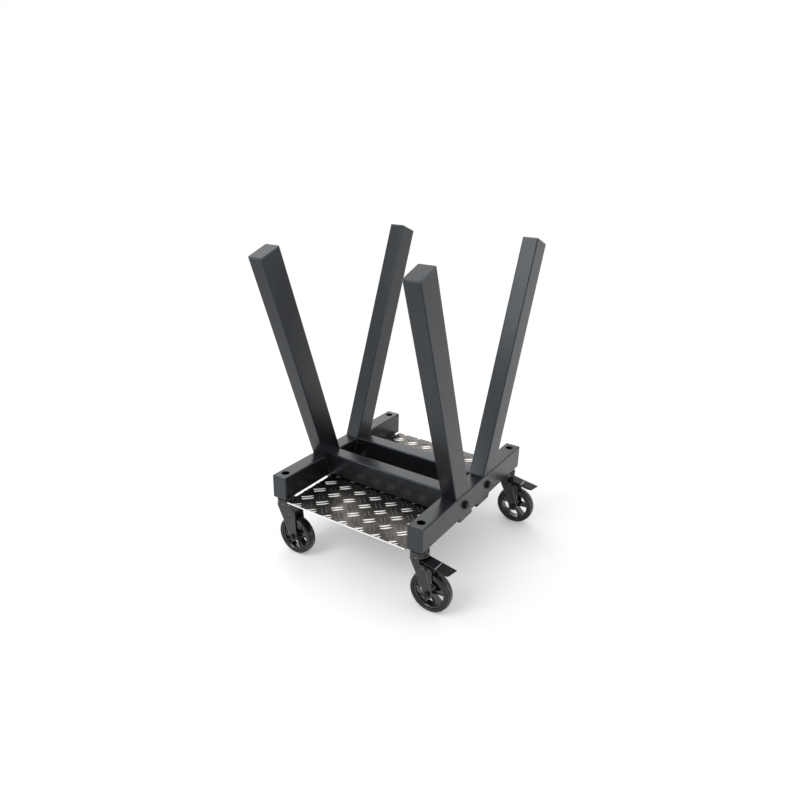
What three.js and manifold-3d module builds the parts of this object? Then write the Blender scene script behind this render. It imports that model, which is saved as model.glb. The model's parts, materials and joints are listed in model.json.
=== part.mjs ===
// Fireside log cart: a bolted tube frame on four swivel casters, in millimetres, +Z up.
// Front is -Y (the side with the open shelf), +X is the side with the two brake pedals.
// Everything is built about the frame's centre line and the floor, then moved so that the origin is
// the bottom centre of the whole cart's bounding box.
import * as THREE from 'three';
import { mergeVertices } from 'three/addons/utils/BufferGeometryUtils.js';
import Module from 'manifold-3d';

const wasm = await Module();
wasm.setup();

// ---- driving dimensions ----
const tubeHigh = 60;            // the long side of the rectangular tube used all over the frame
const tubeWide = 40;            // its short side
const tubeWall = 2;
const tubeCorner = 3;           // outside corner radius
const frameWide = 426;          // over the outer faces of the two rails
const railLong = 500;           // bare tube, the end caps come on top of it
const uprightReach = 609;       // from the cross bolt to the top of the cap, along the upright
const uprightLean = 20.3;       // degrees from vertical
const footSpacing = 120;        // between the two cross bolts of one rail
const footBelow = 12;           // how far an upright's foot sticks out under its rail
const capThick = 3;
const capPlug = 10;             // how deep a cap's plug goes into its tube
const wheelRadius = 50;
const wheelTrail = 33;          // axle behind the swivel axis
const forkHeadroom = 31.5;      // tyre top to the underside of the fork's crown
const mountHigh = 15;           // fork's crown to the underside of the rail
const casterInset = 24;         // swivel axis in from the capped end of the rail
const plateEdgeGap = 3.5;       // open strip between the tread plate and each rail
const plateThick = 3.5;

// ---- clearances ----
const seatGap = 0.3;            // between pieces that rest on or pass through one another
const plugGap = 0.2;            // round a cap's plug and between fixed, stacked pieces
const runGap = 0.4;             // round a shaft that turns

// ---- fasteners ----
const crossBoltR = 5;           // M10
const crossHeadR = 9.5;
const crossHeadHigh = 6.5;
const headDome = [[1, 1], [1, 0.62], [0.88, 0.26], [0.62, 0]];  // shares of radius, and of height down
const crossWasherR = 12;
const crossWasherThick = 1.6;
const socketAcross = 6;
const socketDeep = 4;
const plugPlate = 8;            // threaded end plate welded inside each cross member
const plugInset = 1;            // from the cross member's end
const plugOverlap = 1;          // how far the parts of one piece run into one another
const casterBoltR = 6;          // M12 socket screw inside the rail
const casterHeadR = 9;
const casterHeadHigh = 10;
const casterKeyAcross = 10;
const casterKeyDeep = 6;
const accessR = 10;             // hole in the rail's top wall that the screw is reached through
const screwR = 3;               // M6, tread plate to cross member
const screwHeadR = 5.6;
const screwHeadHigh = 3;
const screwKeyR = 2.3;
const screwKeyDeep = 2;
const screwSpread = 240;        // between the two screws of one cross member

// ---- tread pattern ----
const barLong = 32;
const barWide = 6.4;
const barHigh = 1.5;
const barPairGap = 10;          // centre to centre of the two bars of a pair
const treadPitch = 46.3;
const treadPhaseX = -4.1;       // a pair's centre, from the frame's centre line
const treadPhaseY = -21.2;

// ---- caster ----
const cupR = 22;
const cupHigh = 7;
const cupBevel = 2;
const collarR = 18;
const raceR = 19.5;
const raceBore = 13.5;
const raceHigh = 2.1;
const crownThick = 3.5;
const kingR = 8.5;
const kingFlangeR = 11.5;
const kingFlangeThick = 3;
const kingBelow = 2;            // from the crown's underside down to the flange
const legThick = 3;
const legInner = 14;            // half the space between the fork's legs
const axleEndR = 12;            // round end of the leg about the axle
// Corners of a leg: the share of the way up from the axle to the crown, and the distance
// in front of (+) or behind (-) the straight line between the two.
const legBack = [[0.945, -17.8], [0.663, -16.1], [0.319, -12.5]];
const legFront = [[0.49, 24.2], [0.847, 32.9], [0.933, 28.8]];
const legFrontBraked = [[0.49, 24.2], [0.773, 31.5], [0.828, 2.8]];   // lower, clear of the pedal
const legTopBack = -13.5;       // where the leg's edges meet the crown, from the swivel axis
const legTopFront = 12;
const legTopFrontBraked = 8.5;
const axleR = 4;
const axleSleeveR = 6;
const axleHeadR = 7.5;          // over the corners
const axleHeadThick = 5.5;
const axleTail = 3;             // thread left showing beyond the nut
const tyreHalf = 12;
const tyreThick = 11.5;
const treadFlat = 0.25;         // shares of the half width, across the tread's crown
const treadShoulder = 0.72;
const shoulderDrop = 1.4;
const sideDrop = 5;
const rimThick = 5;
const rimCrown = 1.2;
const rimHalf = 11;
const hubR = 10;
const hubHalf = 13.4;
const spokeCount = 5;
const spokeRootWide = 6;
const spokeTipWide = 12;
const spokeHalf = 6.5;
const spokeTurn = 18;           // degrees, first spoke from straight ahead

// ---- brake pedal ----
const pedalRootX = 13;
const pedalTipX = 85;
const pedalRootDrop = 5;        // upper face below the crown
const pedalTipDrop = 17.2;
const pedalHalf = 15.5;
const pedalThick = 2.6;
const pedalRibX = 49;
const pedalRibWide = 4;
const pedalRibHigh = 1.2;
const pedalLipDrop = 5;
const pivotX = 26;
const pivotDrop = 19.5;         // below the crown
const pivotR = 2.5;
const pinHeadR = 4.3;
const pinHeadThick = 1.8;
const earInner = 10;
const earThick = 2.5;
const earR = 6;
const padFrontX = 30.5;
const padRearX = 43;
const padLift = 0.5;            // pad above the tyre with the brake on
const padAbovePivot = 4;
const padToe = [3, 4];          // bevel at the pad's rear foot, along and up
const padHalf = earInner - seatGap;

// ---- roundness ----
const cornerSteps = 2;
const plugCornerR = 1;
const eyeSteps = 6;
const axleEndSteps = 8;
const roundSmall = 10;
const roundMedium = 16;
const roundWheel = 30;

// ---- derived positions ----
const crownUnder = 2 * wheelRadius + forkHeadroom;
const crownTop = crownUnder + crownThick;
const railUnder = crownTop + mountHigh;
const railTop = railUnder + tubeHigh;
const boltZ = railUnder + tubeHigh / 2;
const railX = frameWide / 2 - tubeWide / 2;
const railInnerX = frameWide / 2 - tubeWide;
const footY = footSpacing / 2;
const uprightX = frameWide / 2 - tubeWall - seatGap - tubeWide / 2;
const crossHalf = uprightX - tubeWide / 2 - seatGap;
const lean = THREE.MathUtils.degToRad(uprightLean);
const casterX = railX;
const casterY = railLong / 2 + capThick - casterInset;
const plateTop = railUnder - seatGap - barHigh;
const plateHalfX = railInnerX - plateEdgeGap;
const plateHalfY = railLong / 2 + capThick;
const cupUnder = crownTop + plugGap + raceHigh + seatGap;
const rimOuter = wheelRadius - tyreThick;
const rimInner = rimOuter - rimThick;
const tyreBore = rimOuter + seatGap;
const pedalRootZ = crownUnder - pedalRootDrop;
const pedalTipZ = crownUnder - pedalTipDrop;
const pivotZ = crownUnder - pivotDrop;

const coat = new THREE.MeshStandardMaterial({ color: 0x26282b, roughness: 0.42, metalness: 0.35 });
const capPlastic = new THREE.MeshStandardMaterial({ color: 0x2c2f33, roughness: 0.45, metalness: 0.0 });
const darkBolt = new THREE.MeshStandardMaterial({ color: 0x1a1b1d, roughness: 0.35, metalness: 0.8 });
const aluminium = new THREE.MeshStandardMaterial({ color: 0xc8cacc, roughness: 0.22, metalness: 1.0 });
const casterSteel = new THREE.MeshStandardMaterial({ color: 0x3a3b3d, roughness: 0.38, metalness: 0.7 });
const rimPlastic = new THREE.MeshStandardMaterial({ color: 0x2e2f31, roughness: 0.28, metalness: 0.0 });
const rubber = new THREE.MeshStandardMaterial({ color: 0x1b1b1c, roughness: 0.7, metalness: 0.0 });
const zinc = new THREE.MeshStandardMaterial({ color: 0x8b8d90, roughness: 0.35, metalness: 0.9 });

const group = new THREE.Group();
group.name = 'fireside_log_cart';

// ---- small tools ----

function toSolid(geometry) {
  const bare = geometry.clone();
  for (const key of ['normal', 'uv']) bare.deleteAttribute(key);
  const merged = mergeVertices(bare, 1e-4);
  const index = merged.index.array;
  const kept = [];
  for (let i = 0; i < index.length; i += 3) {
    const [a, b, c] = [index[i], index[i + 1], index[i + 2]];
    if (a !== b && b !== c && a !== c) kept.push(a, b, c);
  }
  const place = merged.attributes.position;
  let volume = 0;
  const [p, q, r] = [new THREE.Vector3(), new THREE.Vector3(), new THREE.Vector3()];
  for (let i = 0; i < kept.length; i += 3) {
    p.fromBufferAttribute(place, kept[i]);
    q.fromBufferAttribute(place, kept[i + 1]);
    r.fromBufferAttribute(place, kept[i + 2]);
    volume += p.dot(q.clone().cross(r));
  }
  if (volume < 0) for (let i = 0; i < kept.length; i += 3) [kept[i], kept[i + 1]] = [kept[i + 1], kept[i]];
  return new wasm.Manifold(new wasm.Mesh({
    numProp: 3,
    vertProperties: new Float32Array(place.array),
    triVerts: new Uint32Array(kept),
  }));
}

function addPart(name, solid, material) {
  const { vertProperties, triVerts, numProp } = solid.getMesh();
  const flat = new Float32Array((vertProperties.length / numProp) * 3);
  for (let i = 0; i < flat.length / 3; i += 1) {
    for (let k = 0; k < 3; k += 1) flat[i * 3 + k] = vertProperties[i * numProp + k];
  }
  const geometry = new THREE.BufferGeometry();
  geometry.setAttribute('position', new THREE.BufferAttribute(flat, 3));
  geometry.setIndex(new THREE.BufferAttribute(new Uint32Array(triVerts), 1));
  const mesh = new THREE.Mesh(geometry, material);
  mesh.name = name;
  group.add(mesh);
}

function box(x0, x1, y0, y1, z0, z1) {
  const geometry = new THREE.BoxGeometry(x1 - x0, y1 - y0, z1 - z0);
  geometry.translate((x0 + x1) / 2, (y0 + y1) / 2, (z0 + z1) / 2);
  return toSolid(geometry);
}

// A straight rod of any number of sides, from low to high along one axis, through (a, b) across it.
function rod(axis, radius, low, high, a, b, sides) {
  const geometry = new THREE.CylinderGeometry(radius, radius, high - low, sides);
  const mid = (low + high) / 2;
  if (axis === 'x') geometry.rotateZ(Math.PI / 2).translate(mid, a, b);
  if (axis === 'y') geometry.translate(a, mid, b);
  if (axis === 'z') geometry.rotateX(Math.PI / 2).translate(a, b, mid);
  return toSolid(geometry);
}

// A ring or turned piece about a vertical axis; the profile is a list of [radius, height].
function turnedZ(profile, sides, x, y) {
  const points = profile.map(([radius, height]) => new THREE.Vector2(radius, height));
  const geometry = new THREE.LatheGeometry(points, sides);
  geometry.rotateX(Math.PI / 2).translate(x, y, 0);
  return toSolid(geometry);
}

// The same about an axis along Y; the profile's second number is then the place along Y.
function turnedY(profile, sides, x, y, z) {
  const points = profile.map(([radius, along]) => new THREE.Vector2(radius, along));
  const geometry = new THREE.LatheGeometry(points, sides);
  geometry.translate(x, y, z);
  return toSolid(geometry);
}

// A flat plate cut to an outline of [x, z] points, between two places along Y.
function plateXZ(outline, y0, y1) {
  const shape = new THREE.Shape(outline.map(([x, z]) => new THREE.Vector2(x, z)));
  const geometry = new THREE.ExtrudeGeometry(shape, { depth: y1 - y0, bevelEnabled: false });
  geometry.rotateX(Math.PI / 2).translate(0, y1, 0);
  return toSolid(geometry);
}

function roundedOutline(path, wide, high, radius) {
  const [w, h] = [wide / 2, high / 2];
  path.moveTo(-w + radius, -h);
  path.lineTo(w - radius, -h);
  path.absarc(w - radius, -h + radius, radius, -Math.PI / 2, 0);
  path.lineTo(w, h - radius);
  path.absarc(w - radius, h - radius, radius, 0, Math.PI / 2);
  path.lineTo(-w + radius, h);
  path.absarc(-w + radius, h - radius, radius, Math.PI / 2, Math.PI);
  path.lineTo(-w, -h + radius);
  path.absarc(-w + radius, -h + radius, radius, Math.PI, Math.PI * 1.5);
  return path;
}

// Rectangular tube (or, with no wall, a bar) standing along Z, wide across X and high across Y.
function uprightSection(wide, high, corner, wall, low, top, steps = cornerSteps) {
  const shape = roundedOutline(new THREE.Shape(), wide, high, corner);
  if (wall > 0) {
    const inside = Math.max(corner - wall, 0.5);
    shape.holes.push(roundedOutline(new THREE.Path(), wide - 2 * wall, high - 2 * wall, inside));
  }
  const geometry = new THREE.ExtrudeGeometry(shape, {
    depth: top - low, bevelEnabled: false, curveSegments: steps,
  });
  return geometry.translate(0, 0, low);
}

// Turns a section that stands along Z so that it lies along Y with its long side upright.
function layAlongY(geometry) {
  return geometry.rotateX(-Math.PI / 2);
}

// Turns it so that it lies along X with its long side upright.
function layAlongX(geometry) {
  return geometry.rotateX(-Math.PI / 2).rotateZ(Math.PI / 2);
}

// ---- frame ----

function leanGeometry(geometry, sideX, sideY) {
  // the front pair (sideY -1) leans forward at the top, the rear pair leans back
  return geometry.rotateX(-sideY * lean).translate(sideX * uprightX, sideY * footY, boltZ);
}

function notchFor(sideX, sideY) {
  // the slot an upright passes through: top, bottom and inner walls are cut, the outer wall stays
  const deep = tubeHigh / 2 + seatGap;
  const outer = frameWide / 2 - tubeWall;
  const inner = railInnerX - tubeWide;
  const geometry = new THREE.BoxGeometry(outer - inner, 2 * deep, 4 * tubeHigh);
  geometry.rotateX(-sideY * lean).translate(sideX * (outer + inner) / 2, sideY * footY, boltZ);
  return toSolid(geometry);
}

function makeRail(side) {
  const tube = uprightSection(tubeWide, tubeHigh, tubeCorner, tubeWall, -railLong / 2, railLong / 2);
  let solid = toSolid(layAlongY(tube).translate(side * railX, 0, boltZ));
  const outerFace = side * (frameWide / 2);
  const reach = 3 * tubeWall;
  for (const end of [-1, 1]) {
    const holeR = crossBoltR + seatGap;
    const low = Math.min(outerFace - reach, outerFace + reach);
    solid = solid.subtract(notchFor(side, end));
    solid = solid.subtract(rod('x', holeR, low, low + 2 * reach, end * footY, boltZ, roundSmall));
    const x = side * casterX;
    const y = end * casterY;
    solid = solid.subtract(rod('z', accessR, railTop - reach, railTop + reach, x, y, roundMedium));
    const stemR = casterBoltR + seatGap;
    solid = solid.subtract(rod('z', stemR, railUnder - reach, railUnder + reach, x, y, roundSmall));
  }
  addPart(side < 0 ? 'left_rail' : 'right_rail', solid, coat);
}

function capGeometry() {
  // plate on top of the tube's end, plug inside it; stands along Z with the tube's end at height 0
  const inner = tubeWall + plugGap;
  const plate = uprightSection(tubeWide, tubeHigh, tubeCorner, 0, plugGap, capThick);
  const plug = uprightSection(tubeWide - 2 * inner, tubeHigh - 2 * inner, plugCornerR, 0,
    -capPlug, plugOverlap, 1);
  return [plate, plug];
}

function placedCap(place) {
  const [plate, plug] = capGeometry().map((geometry) => toSolid(place(geometry)));
  return plate.add(plug);
}

function makeRailCap(side, end) {
  const solid = placedCap((geometry) => {
    geometry.translate(0, 0, railLong / 2);
    layAlongY(geometry);
    if (end < 0) geometry.rotateZ(Math.PI);
    return geometry.translate(side * railX, 0, boltZ);
  });
  addPart(`rail_cap_${end < 0 ? 'front' : 'rear'}_${side < 0 ? 'left' : 'right'}`, solid, capPlastic);
}

function cornerName(sideX, sideY) {
  return `${sideY < 0 ? 'front' : 'rear'}_${sideX < 0 ? 'left' : 'right'}`;
}

function makeUpright(sideX, sideY) {
  const top = uprightReach - capThick;
  const low = -2 * tubeHigh;
  const tube = uprightSection(tubeWide, tubeHigh, tubeCorner, tubeWall, low, top);
  let solid = toSolid(leanGeometry(tube, sideX, sideY));
  const far = frameWide;
  solid = solid.subtract(box(-far, far, -far, far, -far, railUnder - footBelow));
  const x0 = sideX * uprightX - tubeWide;
  const holeR = crossBoltR + seatGap;
  solid = solid.subtract(rod('x', holeR, x0, x0 + 2 * tubeWide, sideY * footY, boltZ, roundSmall));
  addPart(`upright_${cornerName(sideX, sideY)}`, solid, coat);
  const cap = placedCap((geometry) => leanGeometry(geometry.translate(0, 0, top), sideX, sideY));
  addPart(`upright_cap_${cornerName(sideX, sideY)}`, cap, capPlastic);
}

function makeCrossMember(sideY) {
  const tube = uprightSection(tubeWide, tubeHigh, tubeCorner, tubeWall, -crossHalf, crossHalf);
  let solid = toSolid(layAlongX(tube).translate(0, sideY * footY, boltZ));
  for (const sideX of [-1, 1]) {
    const outer = sideX * (crossHalf - plugInset);
    const inner = sideX * (crossHalf - plugInset - plugPlate);
    const [w, h] = [tubeWide / 2 - tubeWall / 2, tubeHigh / 2 - tubeWall / 2];
    solid = solid.add(box(Math.min(outer, inner), Math.max(outer, inner),
      sideY * footY - w, sideY * footY + w, boltZ - h, boltZ + h));
    const [low, high] = [Math.min(outer, inner) - tubeWall, Math.max(outer, inner) + tubeWall];
    const threadR = crossBoltR + plugGap;
    solid = solid.subtract(rod('x', threadR, low, high, sideY * footY, boltZ, roundSmall));
    solid = solid.subtract(rod('z', screwR + plugGap, railUnder - tubeWall, railUnder + 2 * tubeWall,
      sideX * screwSpread / 2, sideY * footY, roundSmall));
  }
  addPart(sideY < 0 ? 'cross_member_front' : 'cross_member_rear', solid, coat);
}

function makeCrossBolt(sideX, sideY) {
  // built pointing along +X on the right side, mirrored for the left
  const face = frameWide / 2 + plugGap;
  const inner = crossHalf - plugInset - plugPlate - tubeWall;
  const y = sideY * footY;
  const span = (a, b) => [Math.min(sideX * a, sideX * b), Math.max(sideX * a, sideX * b)];
  let solid = rod('x', crossBoltR, ...span(inner, face + plugOverlap), y, boltZ, roundSmall);
  const headFace = face + crossWasherThick + crossHeadHigh;
  solid = solid.add(rod('x', crossWasherR, ...span(face, face + crossWasherThick), y, boltZ, roundMedium));
  const dome = [[0, face + plugOverlap]];
  for (const [wide, down] of headDome) dome.push([crossHeadR * wide, headFace - crossHeadHigh * down]);
  dome.push([0, headFace]);
  const head = new THREE.LatheGeometry(dome.map(([r, h]) => new THREE.Vector2(r, h)), roundMedium);
  head.rotateZ(-Math.PI / 2).scale(sideX, 1, 1).translate(0, y, boltZ);
  solid = solid.add(toSolid(head));
  const socketR = socketAcross / Math.sqrt(3);
  solid = solid.subtract(rod('x', socketR, ...span(headFace - socketDeep, headFace + 1), y, boltZ, 6));
  addPart(`cross_bolt_${cornerName(sideX, sideY)}`, solid, darkBolt);
}

// ---- tread plate ----

function treadBar(x, y, turn) {
  // pointed base on the plate's face and a short ridge on top
  const [half, wide, ridge] = [barLong / 2, barWide / 2, barLong / 4];
  const [low, high] = [plateTop, plateTop + barHigh];
  const corners = [[-half, 0, low], [0, -wide, low], [half, 0, low], [0, wide, low],
    [-ridge, 0, high], [ridge, 0, high]];
  const faces = [0, 3, 2, 0, 2, 1, 0, 1, 4, 1, 5, 4, 1, 2, 5, 2, 3, 5, 3, 4, 5, 3, 0, 4];
  const geometry = new THREE.BufferGeometry();
  geometry.setAttribute('position', new THREE.BufferAttribute(new Float32Array(corners.flat()), 3));
  geometry.setIndex(faces);
  geometry.rotateZ(turn).translate(x, y, 0);
  return toSolid(geometry);
}

function treadPair(x, y, turn) {
  const [ox, oy] = [-Math.sin(turn) * barPairGap / 2, Math.cos(turn) * barPairGap / 2];
  return [treadBar(x + ox, y + oy, turn), treadBar(x - ox, y - oy, turn)];
}

function makeTreadPlate() {
  const bars = [];
  const reach = barLong;
  const [columns, rows] = [Math.ceil(plateHalfX / treadPitch) + 1, Math.ceil(plateHalfY / treadPitch) + 1];
  for (let i = -columns; i <= columns; i += 1) {
    for (let j = -rows; j <= rows; j += 1) {
      for (const [step, turn] of [[0, Math.PI / 4], [0.5, -Math.PI / 4]]) {
        const x = treadPhaseX + (i + step) * treadPitch;
        const y = treadPhaseY + (j + step) * treadPitch;
        const inside = Math.abs(x) < plateHalfX + reach / 4 && Math.abs(y) < plateHalfY + reach / 4;
        if (inside) bars.push(...treadPair(x, y, turn));
      }
    }
  }
  const sheet = box(-plateHalfX, plateHalfX, -plateHalfY, plateHalfY, plateTop - plateThick, plateTop);
  const raised = wasm.Manifold.union(bars);
  const trim = box(-plateHalfX, plateHalfX, -plateHalfY, plateHalfY, plateTop - plateThick, railUnder);
  let solid = sheet.add(raised.intersect(trim));
  for (const sideX of [-1, 1]) {
    for (const sideY of [-1, 1]) {
      solid = solid.subtract(rod('z', screwR + plugGap, plateTop - 2 * plateThick, railUnder + plateThick,
        sideX * screwSpread / 2, sideY * footY, roundSmall));
    }
  }
  addPart('tread_plate', solid, aluminium);
}

function makePlateScrew(sideX, sideY) {
  const [x, y] = [sideX * screwSpread / 2, sideY * footY];
  const under = plateTop - plateThick - plugGap;
  const low = under - screwHeadHigh;
  const head = turnedZ([[0, low], [screwHeadR * 0.55, low], [screwHeadR, under - screwHeadHigh * 0.4],
    [screwHeadR, under], [0, under]], roundSmall, x, y);
  const shank = rod('z', screwR, under - plugOverlap, railUnder + 3 * tubeWall, x, y, roundSmall);
  const key = rod('z', screwKeyR, low - plugOverlap, low + screwKeyDeep, x, y, 6);
  addPart(`plate_screw_${cornerName(sideX, sideY)}`, head.add(shank).subtract(key), zinc);
}

// ---- casters ----

function makeCasterMount(x, y, name) {
  const bore = casterBoltR + plugGap;
  const top = railUnder - plugGap;
  const flange = crownUnder - kingBelow;
  const solid = turnedZ([
    [bore, flange - kingFlangeThick], [kingFlangeR, flange - kingFlangeThick], [kingFlangeR, flange],
    [kingR, flange], [kingR, cupUnder], [cupR, cupUnder], [cupR, cupUnder + cupHigh - cupBevel],
    [cupR - cupBevel, cupUnder + cupHigh], [collarR, cupUnder + cupHigh], [collarR, top], [bore, top],
    [bore, flange - kingFlangeThick],
  ], roundMedium, x, y);
  addPart(`caster_mount_${name}`, solid, casterSteel);
  const seat = railUnder + tubeWall + plugGap;
  const tail = flange - kingFlangeThick - plugOverlap;
  const shank = rod('z', casterBoltR, tail, seat + plugOverlap, x, y, roundSmall);
  const head = rod('z', casterHeadR, seat, seat + casterHeadHigh, x, y, roundMedium);
  const [keyR, keyTop] = [casterKeyAcross / Math.sqrt(3), seat + casterHeadHigh];
  const key = rod('z', keyR, keyTop - casterKeyDeep, keyTop + plugOverlap, x, y, 6);
  addPart(`caster_bolt_${name}`, shank.add(head).subtract(key), zinc);
  const race = [[raceBore, crownTop + plugGap], [raceR, crownTop + plugGap],
    [raceR, crownTop + plugGap + raceHigh], [raceBore, crownTop + plugGap + raceHigh],
    [raceBore, crownTop + plugGap]];
  addPart(`swivel_race_${name}`, turnedZ(race, roundMedium, x, y), zinc);
}

// Outline of one leg, [x, z] from the swivel axis and the floor.
function legOutline(braked) {
  const edgeTop = crownTop - crownThick / 2;
  const corner = ([share, across]) => [
    wheelTrail * (1 - share) + across, wheelRadius + share * (crownUnder - wheelRadius)];
  const end = [];
  for (let i = 0; i <= axleEndSteps; i += 1) {
    const angle = THREE.MathUtils.degToRad(-160 + (i * 160) / axleEndSteps);
    end.push([wheelTrail + axleEndR * Math.cos(angle), wheelRadius + axleEndR * Math.sin(angle)]);
  }
  const front = (braked ? legFrontBraked : legFront).map(corner);
  const topFront = braked ? legTopFrontBraked : legTopFront;
  return [[legTopBack, edgeTop], ...legBack.map(corner), ...end, ...front, [topFront, edgeTop]];
}

function makeFork(x, y, name, braked) {
  const crown = rod('z', cupR, crownUnder, crownTop, x, y, roundMedium);
  const outline = legOutline(braked).map(([dx, z]) => [x + dx, z]);
  let solid = crown;
  for (const side of [-1, 1]) {
    const [a, b] = [y + side * legInner, y + side * (legInner + legThick)];
    solid = solid.add(plateXZ(outline, Math.min(a, b), Math.max(a, b)));
  }
  const past = plugOverlap;
  solid = solid.subtract(rod('z', kingR + runGap, crownUnder - past, crownTop + past, x, y, roundMedium));
  const span = legInner + 2 * legThick;
  const holeR = axleR + plugGap;
  solid = solid.subtract(rod('y', holeR, y - span, y + span, x + wheelTrail, wheelRadius, roundSmall));
  if (braked) {
    solid = solid.subtract(rod('y', pivotR + plugGap, y - span, y + span, x + pivotX, pivotZ, roundSmall));
  }
  addPart(`fork_${name}`, solid, casterSteel);
}

function makeAxle(x, y, name) {
  const sleeve = legInner - plugGap;
  const outer = legInner + legThick + plugGap;
  const [ax, az] = [x + wheelTrail, wheelRadius];
  const tail = outer + axleHeadThick + axleTail;
  let solid = rod('y', axleR, y - outer - plugOverlap, y + tail, ax, az, roundSmall);
  solid = solid.add(rod('y', axleSleeveR, y - sleeve, y + sleeve, ax, az, roundSmall));
  for (const side of [-1, 1]) {
    const [a, b] = [y + side * outer, y + side * (outer + axleHeadThick)];
    solid = solid.add(rod('y', axleHeadR, Math.min(a, b), Math.max(a, b), ax, az, 6));
  }
  addPart(`axle_${name}`, solid, darkBolt);
}

function makeWheel(x, y, name) {
  const [cx, cz] = [x + wheelTrail, wheelRadius];
  const rimEdge = rimInner + rimCrown;
  let solid = turnedY([[rimEdge, -rimHalf], [rimOuter, -rimHalf], [rimOuter, rimHalf],
    [rimEdge, rimHalf], [rimInner, 0], [rimEdge, -rimHalf]], roundWheel, cx, y, cz);
  for (let i = 0; i < spokeCount; i += 1) {
    const turn = THREE.MathUtils.degToRad(spokeTurn + (i * 360) / spokeCount);
    const [near, far] = [hubR * 0.7, rimInner + rimThick / 2];
    const outline = [[near, -spokeRootWide / 2], [far, -spokeTipWide / 2],
      [far, spokeTipWide / 2], [near, spokeRootWide / 2]];
    const placed = outline.map(([u, v]) => [
      cx + u * Math.cos(turn) - v * Math.sin(turn), cz + u * Math.sin(turn) + v * Math.cos(turn)]);
    solid = solid.add(plateXZ(placed, y - spokeHalf, y + spokeHalf));
  }
  solid = solid.add(rod('y', hubR, y - hubHalf, y + hubHalf, cx, cz, roundMedium));
  solid = solid.subtract(rod('y', axleSleeveR + runGap, y - 2 * hubHalf, y + 2 * hubHalf, cx, cz, roundSmall));
  addPart(`wheel_rim_${name}`, solid, rimPlastic);
  const [side, shoulderR] = [wheelRadius - sideDrop, wheelRadius - shoulderDrop];
  const section = [[tyreBore, -tyreHalf], [side, -tyreHalf], [shoulderR, -tyreHalf * treadShoulder],
    [wheelRadius, -tyreHalf * treadFlat], [wheelRadius, tyreHalf * treadFlat],
    [shoulderR, tyreHalf * treadShoulder], [side, tyreHalf], [tyreBore, tyreHalf], [tyreBore, -tyreHalf]];
  addPart(`tyre_${name}`, turnedY(section, roundWheel, cx, y, cz), rubber);
}

function makeBrake(x, y, name) {
  const slope = (pedalTipZ - pedalRootZ) / (pedalTipX - pedalRootX);
  const topAt = (dx) => pedalRootZ + (dx - pedalRootX) * slope;
  const across = (points) => plateXZ(points.map(([dx, z]) => [x + dx, z]), y - pedalHalf, y + pedalHalf);
  const strip = (from, to, up, down) => across([[from, topAt(from) - down], [to, topAt(to) - down],
    [to, topAt(to) + up], [from, topAt(from) + up]]);
  const blade = strip(pedalRootX, pedalTipX, 0, pedalThick);
  const rib = strip(pedalRibX, pedalRibX + pedalRibWide, pedalRibHigh, pedalThick / 2);
  const lip = strip(pedalTipX - pedalThick, pedalTipX, 0, pedalLipDrop);
  let solid = blade.add(rib).add(lip);
  const eye = [];
  for (let i = 0; i <= eyeSteps; i += 1) {
    const angle = THREE.MathUtils.degToRad(150 + (i * 150) / eyeSteps);
    eye.push([pivotX + earR * Math.cos(angle), pivotZ + earR * Math.sin(angle)]);
  }
  const under = (dx) => [dx, topAt(dx) - pedalThick / 2];
  const earRear = padRearX + earR;
  const ear = [under(pivotX - 1.5 * earR), ...eye, [earRear - earR / 2, pivotZ - earR], under(earRear)];
  for (const side of [-1, 1]) {
    const [a, b] = [y + side * earInner, y + side * (earInner + earThick)];
    solid = solid.add(plateXZ(ear.map(([dx, z]) => [x + dx, z]), Math.min(a, b), Math.max(a, b)));
  }
  const boreR = pivotR + runGap;
  solid = solid.subtract(rod('y', boreR, y - pedalHalf, y + pedalHalf, x + pivotX, pivotZ, roundSmall));
  addPart(`brake_pedal_${name}`, solid, coat);

  const outer = legInner + legThick + plugGap;
  const reach = outer + plugOverlap;
  let pin = rod('y', pivotR, y - reach, y + reach, x + pivotX, pivotZ, roundSmall);
  for (const side of [-1, 1]) {
    const [a, b] = [y + side * outer, y + side * (outer + pinHeadThick)];
    pin = pin.add(rod('y', pinHeadR, Math.min(a, b), Math.max(a, b), x + pivotX, pivotZ, roundSmall));
  }
  addPart(`brake_pin_${name}`, pin, darkBolt);

  const foot = 2 * wheelRadius + padLift;
  const head = pivotZ + padAbovePivot;
  const pad = [[padFrontX, foot], [padRearX - padToe[0], foot], [padRearX, foot + padToe[1]],
    [padRearX, head], [padFrontX, head]];
  addPart(`brake_pad_${name}`, plateXZ(pad.map(([dx, z]) => [x + dx, z]), y - padHalf, y + padHalf), rubber);
}

// ---- assembly ----

for (const side of [-1, 1]) {
  makeRail(side);
  for (const end of [-1, 1]) makeRailCap(side, end);
}
for (const sideY of [-1, 1]) {
  makeCrossMember(sideY);
  for (const sideX of [-1, 1]) {
    makeUpright(sideX, sideY);
    makeCrossBolt(sideX, sideY);
    makePlateScrew(sideX, sideY);
  }
}
makeTreadPlate();
for (const sideX of [-1, 1]) {
  for (const sideY of [-1, 1]) {
    const [x, y, name] = [sideX * casterX, sideY * casterY, cornerName(sideX, sideY)];
    const braked = sideX > 0;
    makeCasterMount(x, y, name);
    makeFork(x, y, name, braked);
    makeAxle(x, y, name);
    makeWheel(x, y, name);
    if (braked) makeBrake(x, y, name);
  }
}

// move everything so that the origin is the bottom centre of the bounding box
const bounds = new THREE.Box3().setFromObject(group);
const middle = bounds.getCenter(new THREE.Vector3());
for (const mesh of group.children) mesh.geometry.translate(-middle.x, -middle.y, -bounds.min.z);

export default group;
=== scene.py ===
import json
import math

import bmesh
import bpy
from mathutils import Matrix, Vector


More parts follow.
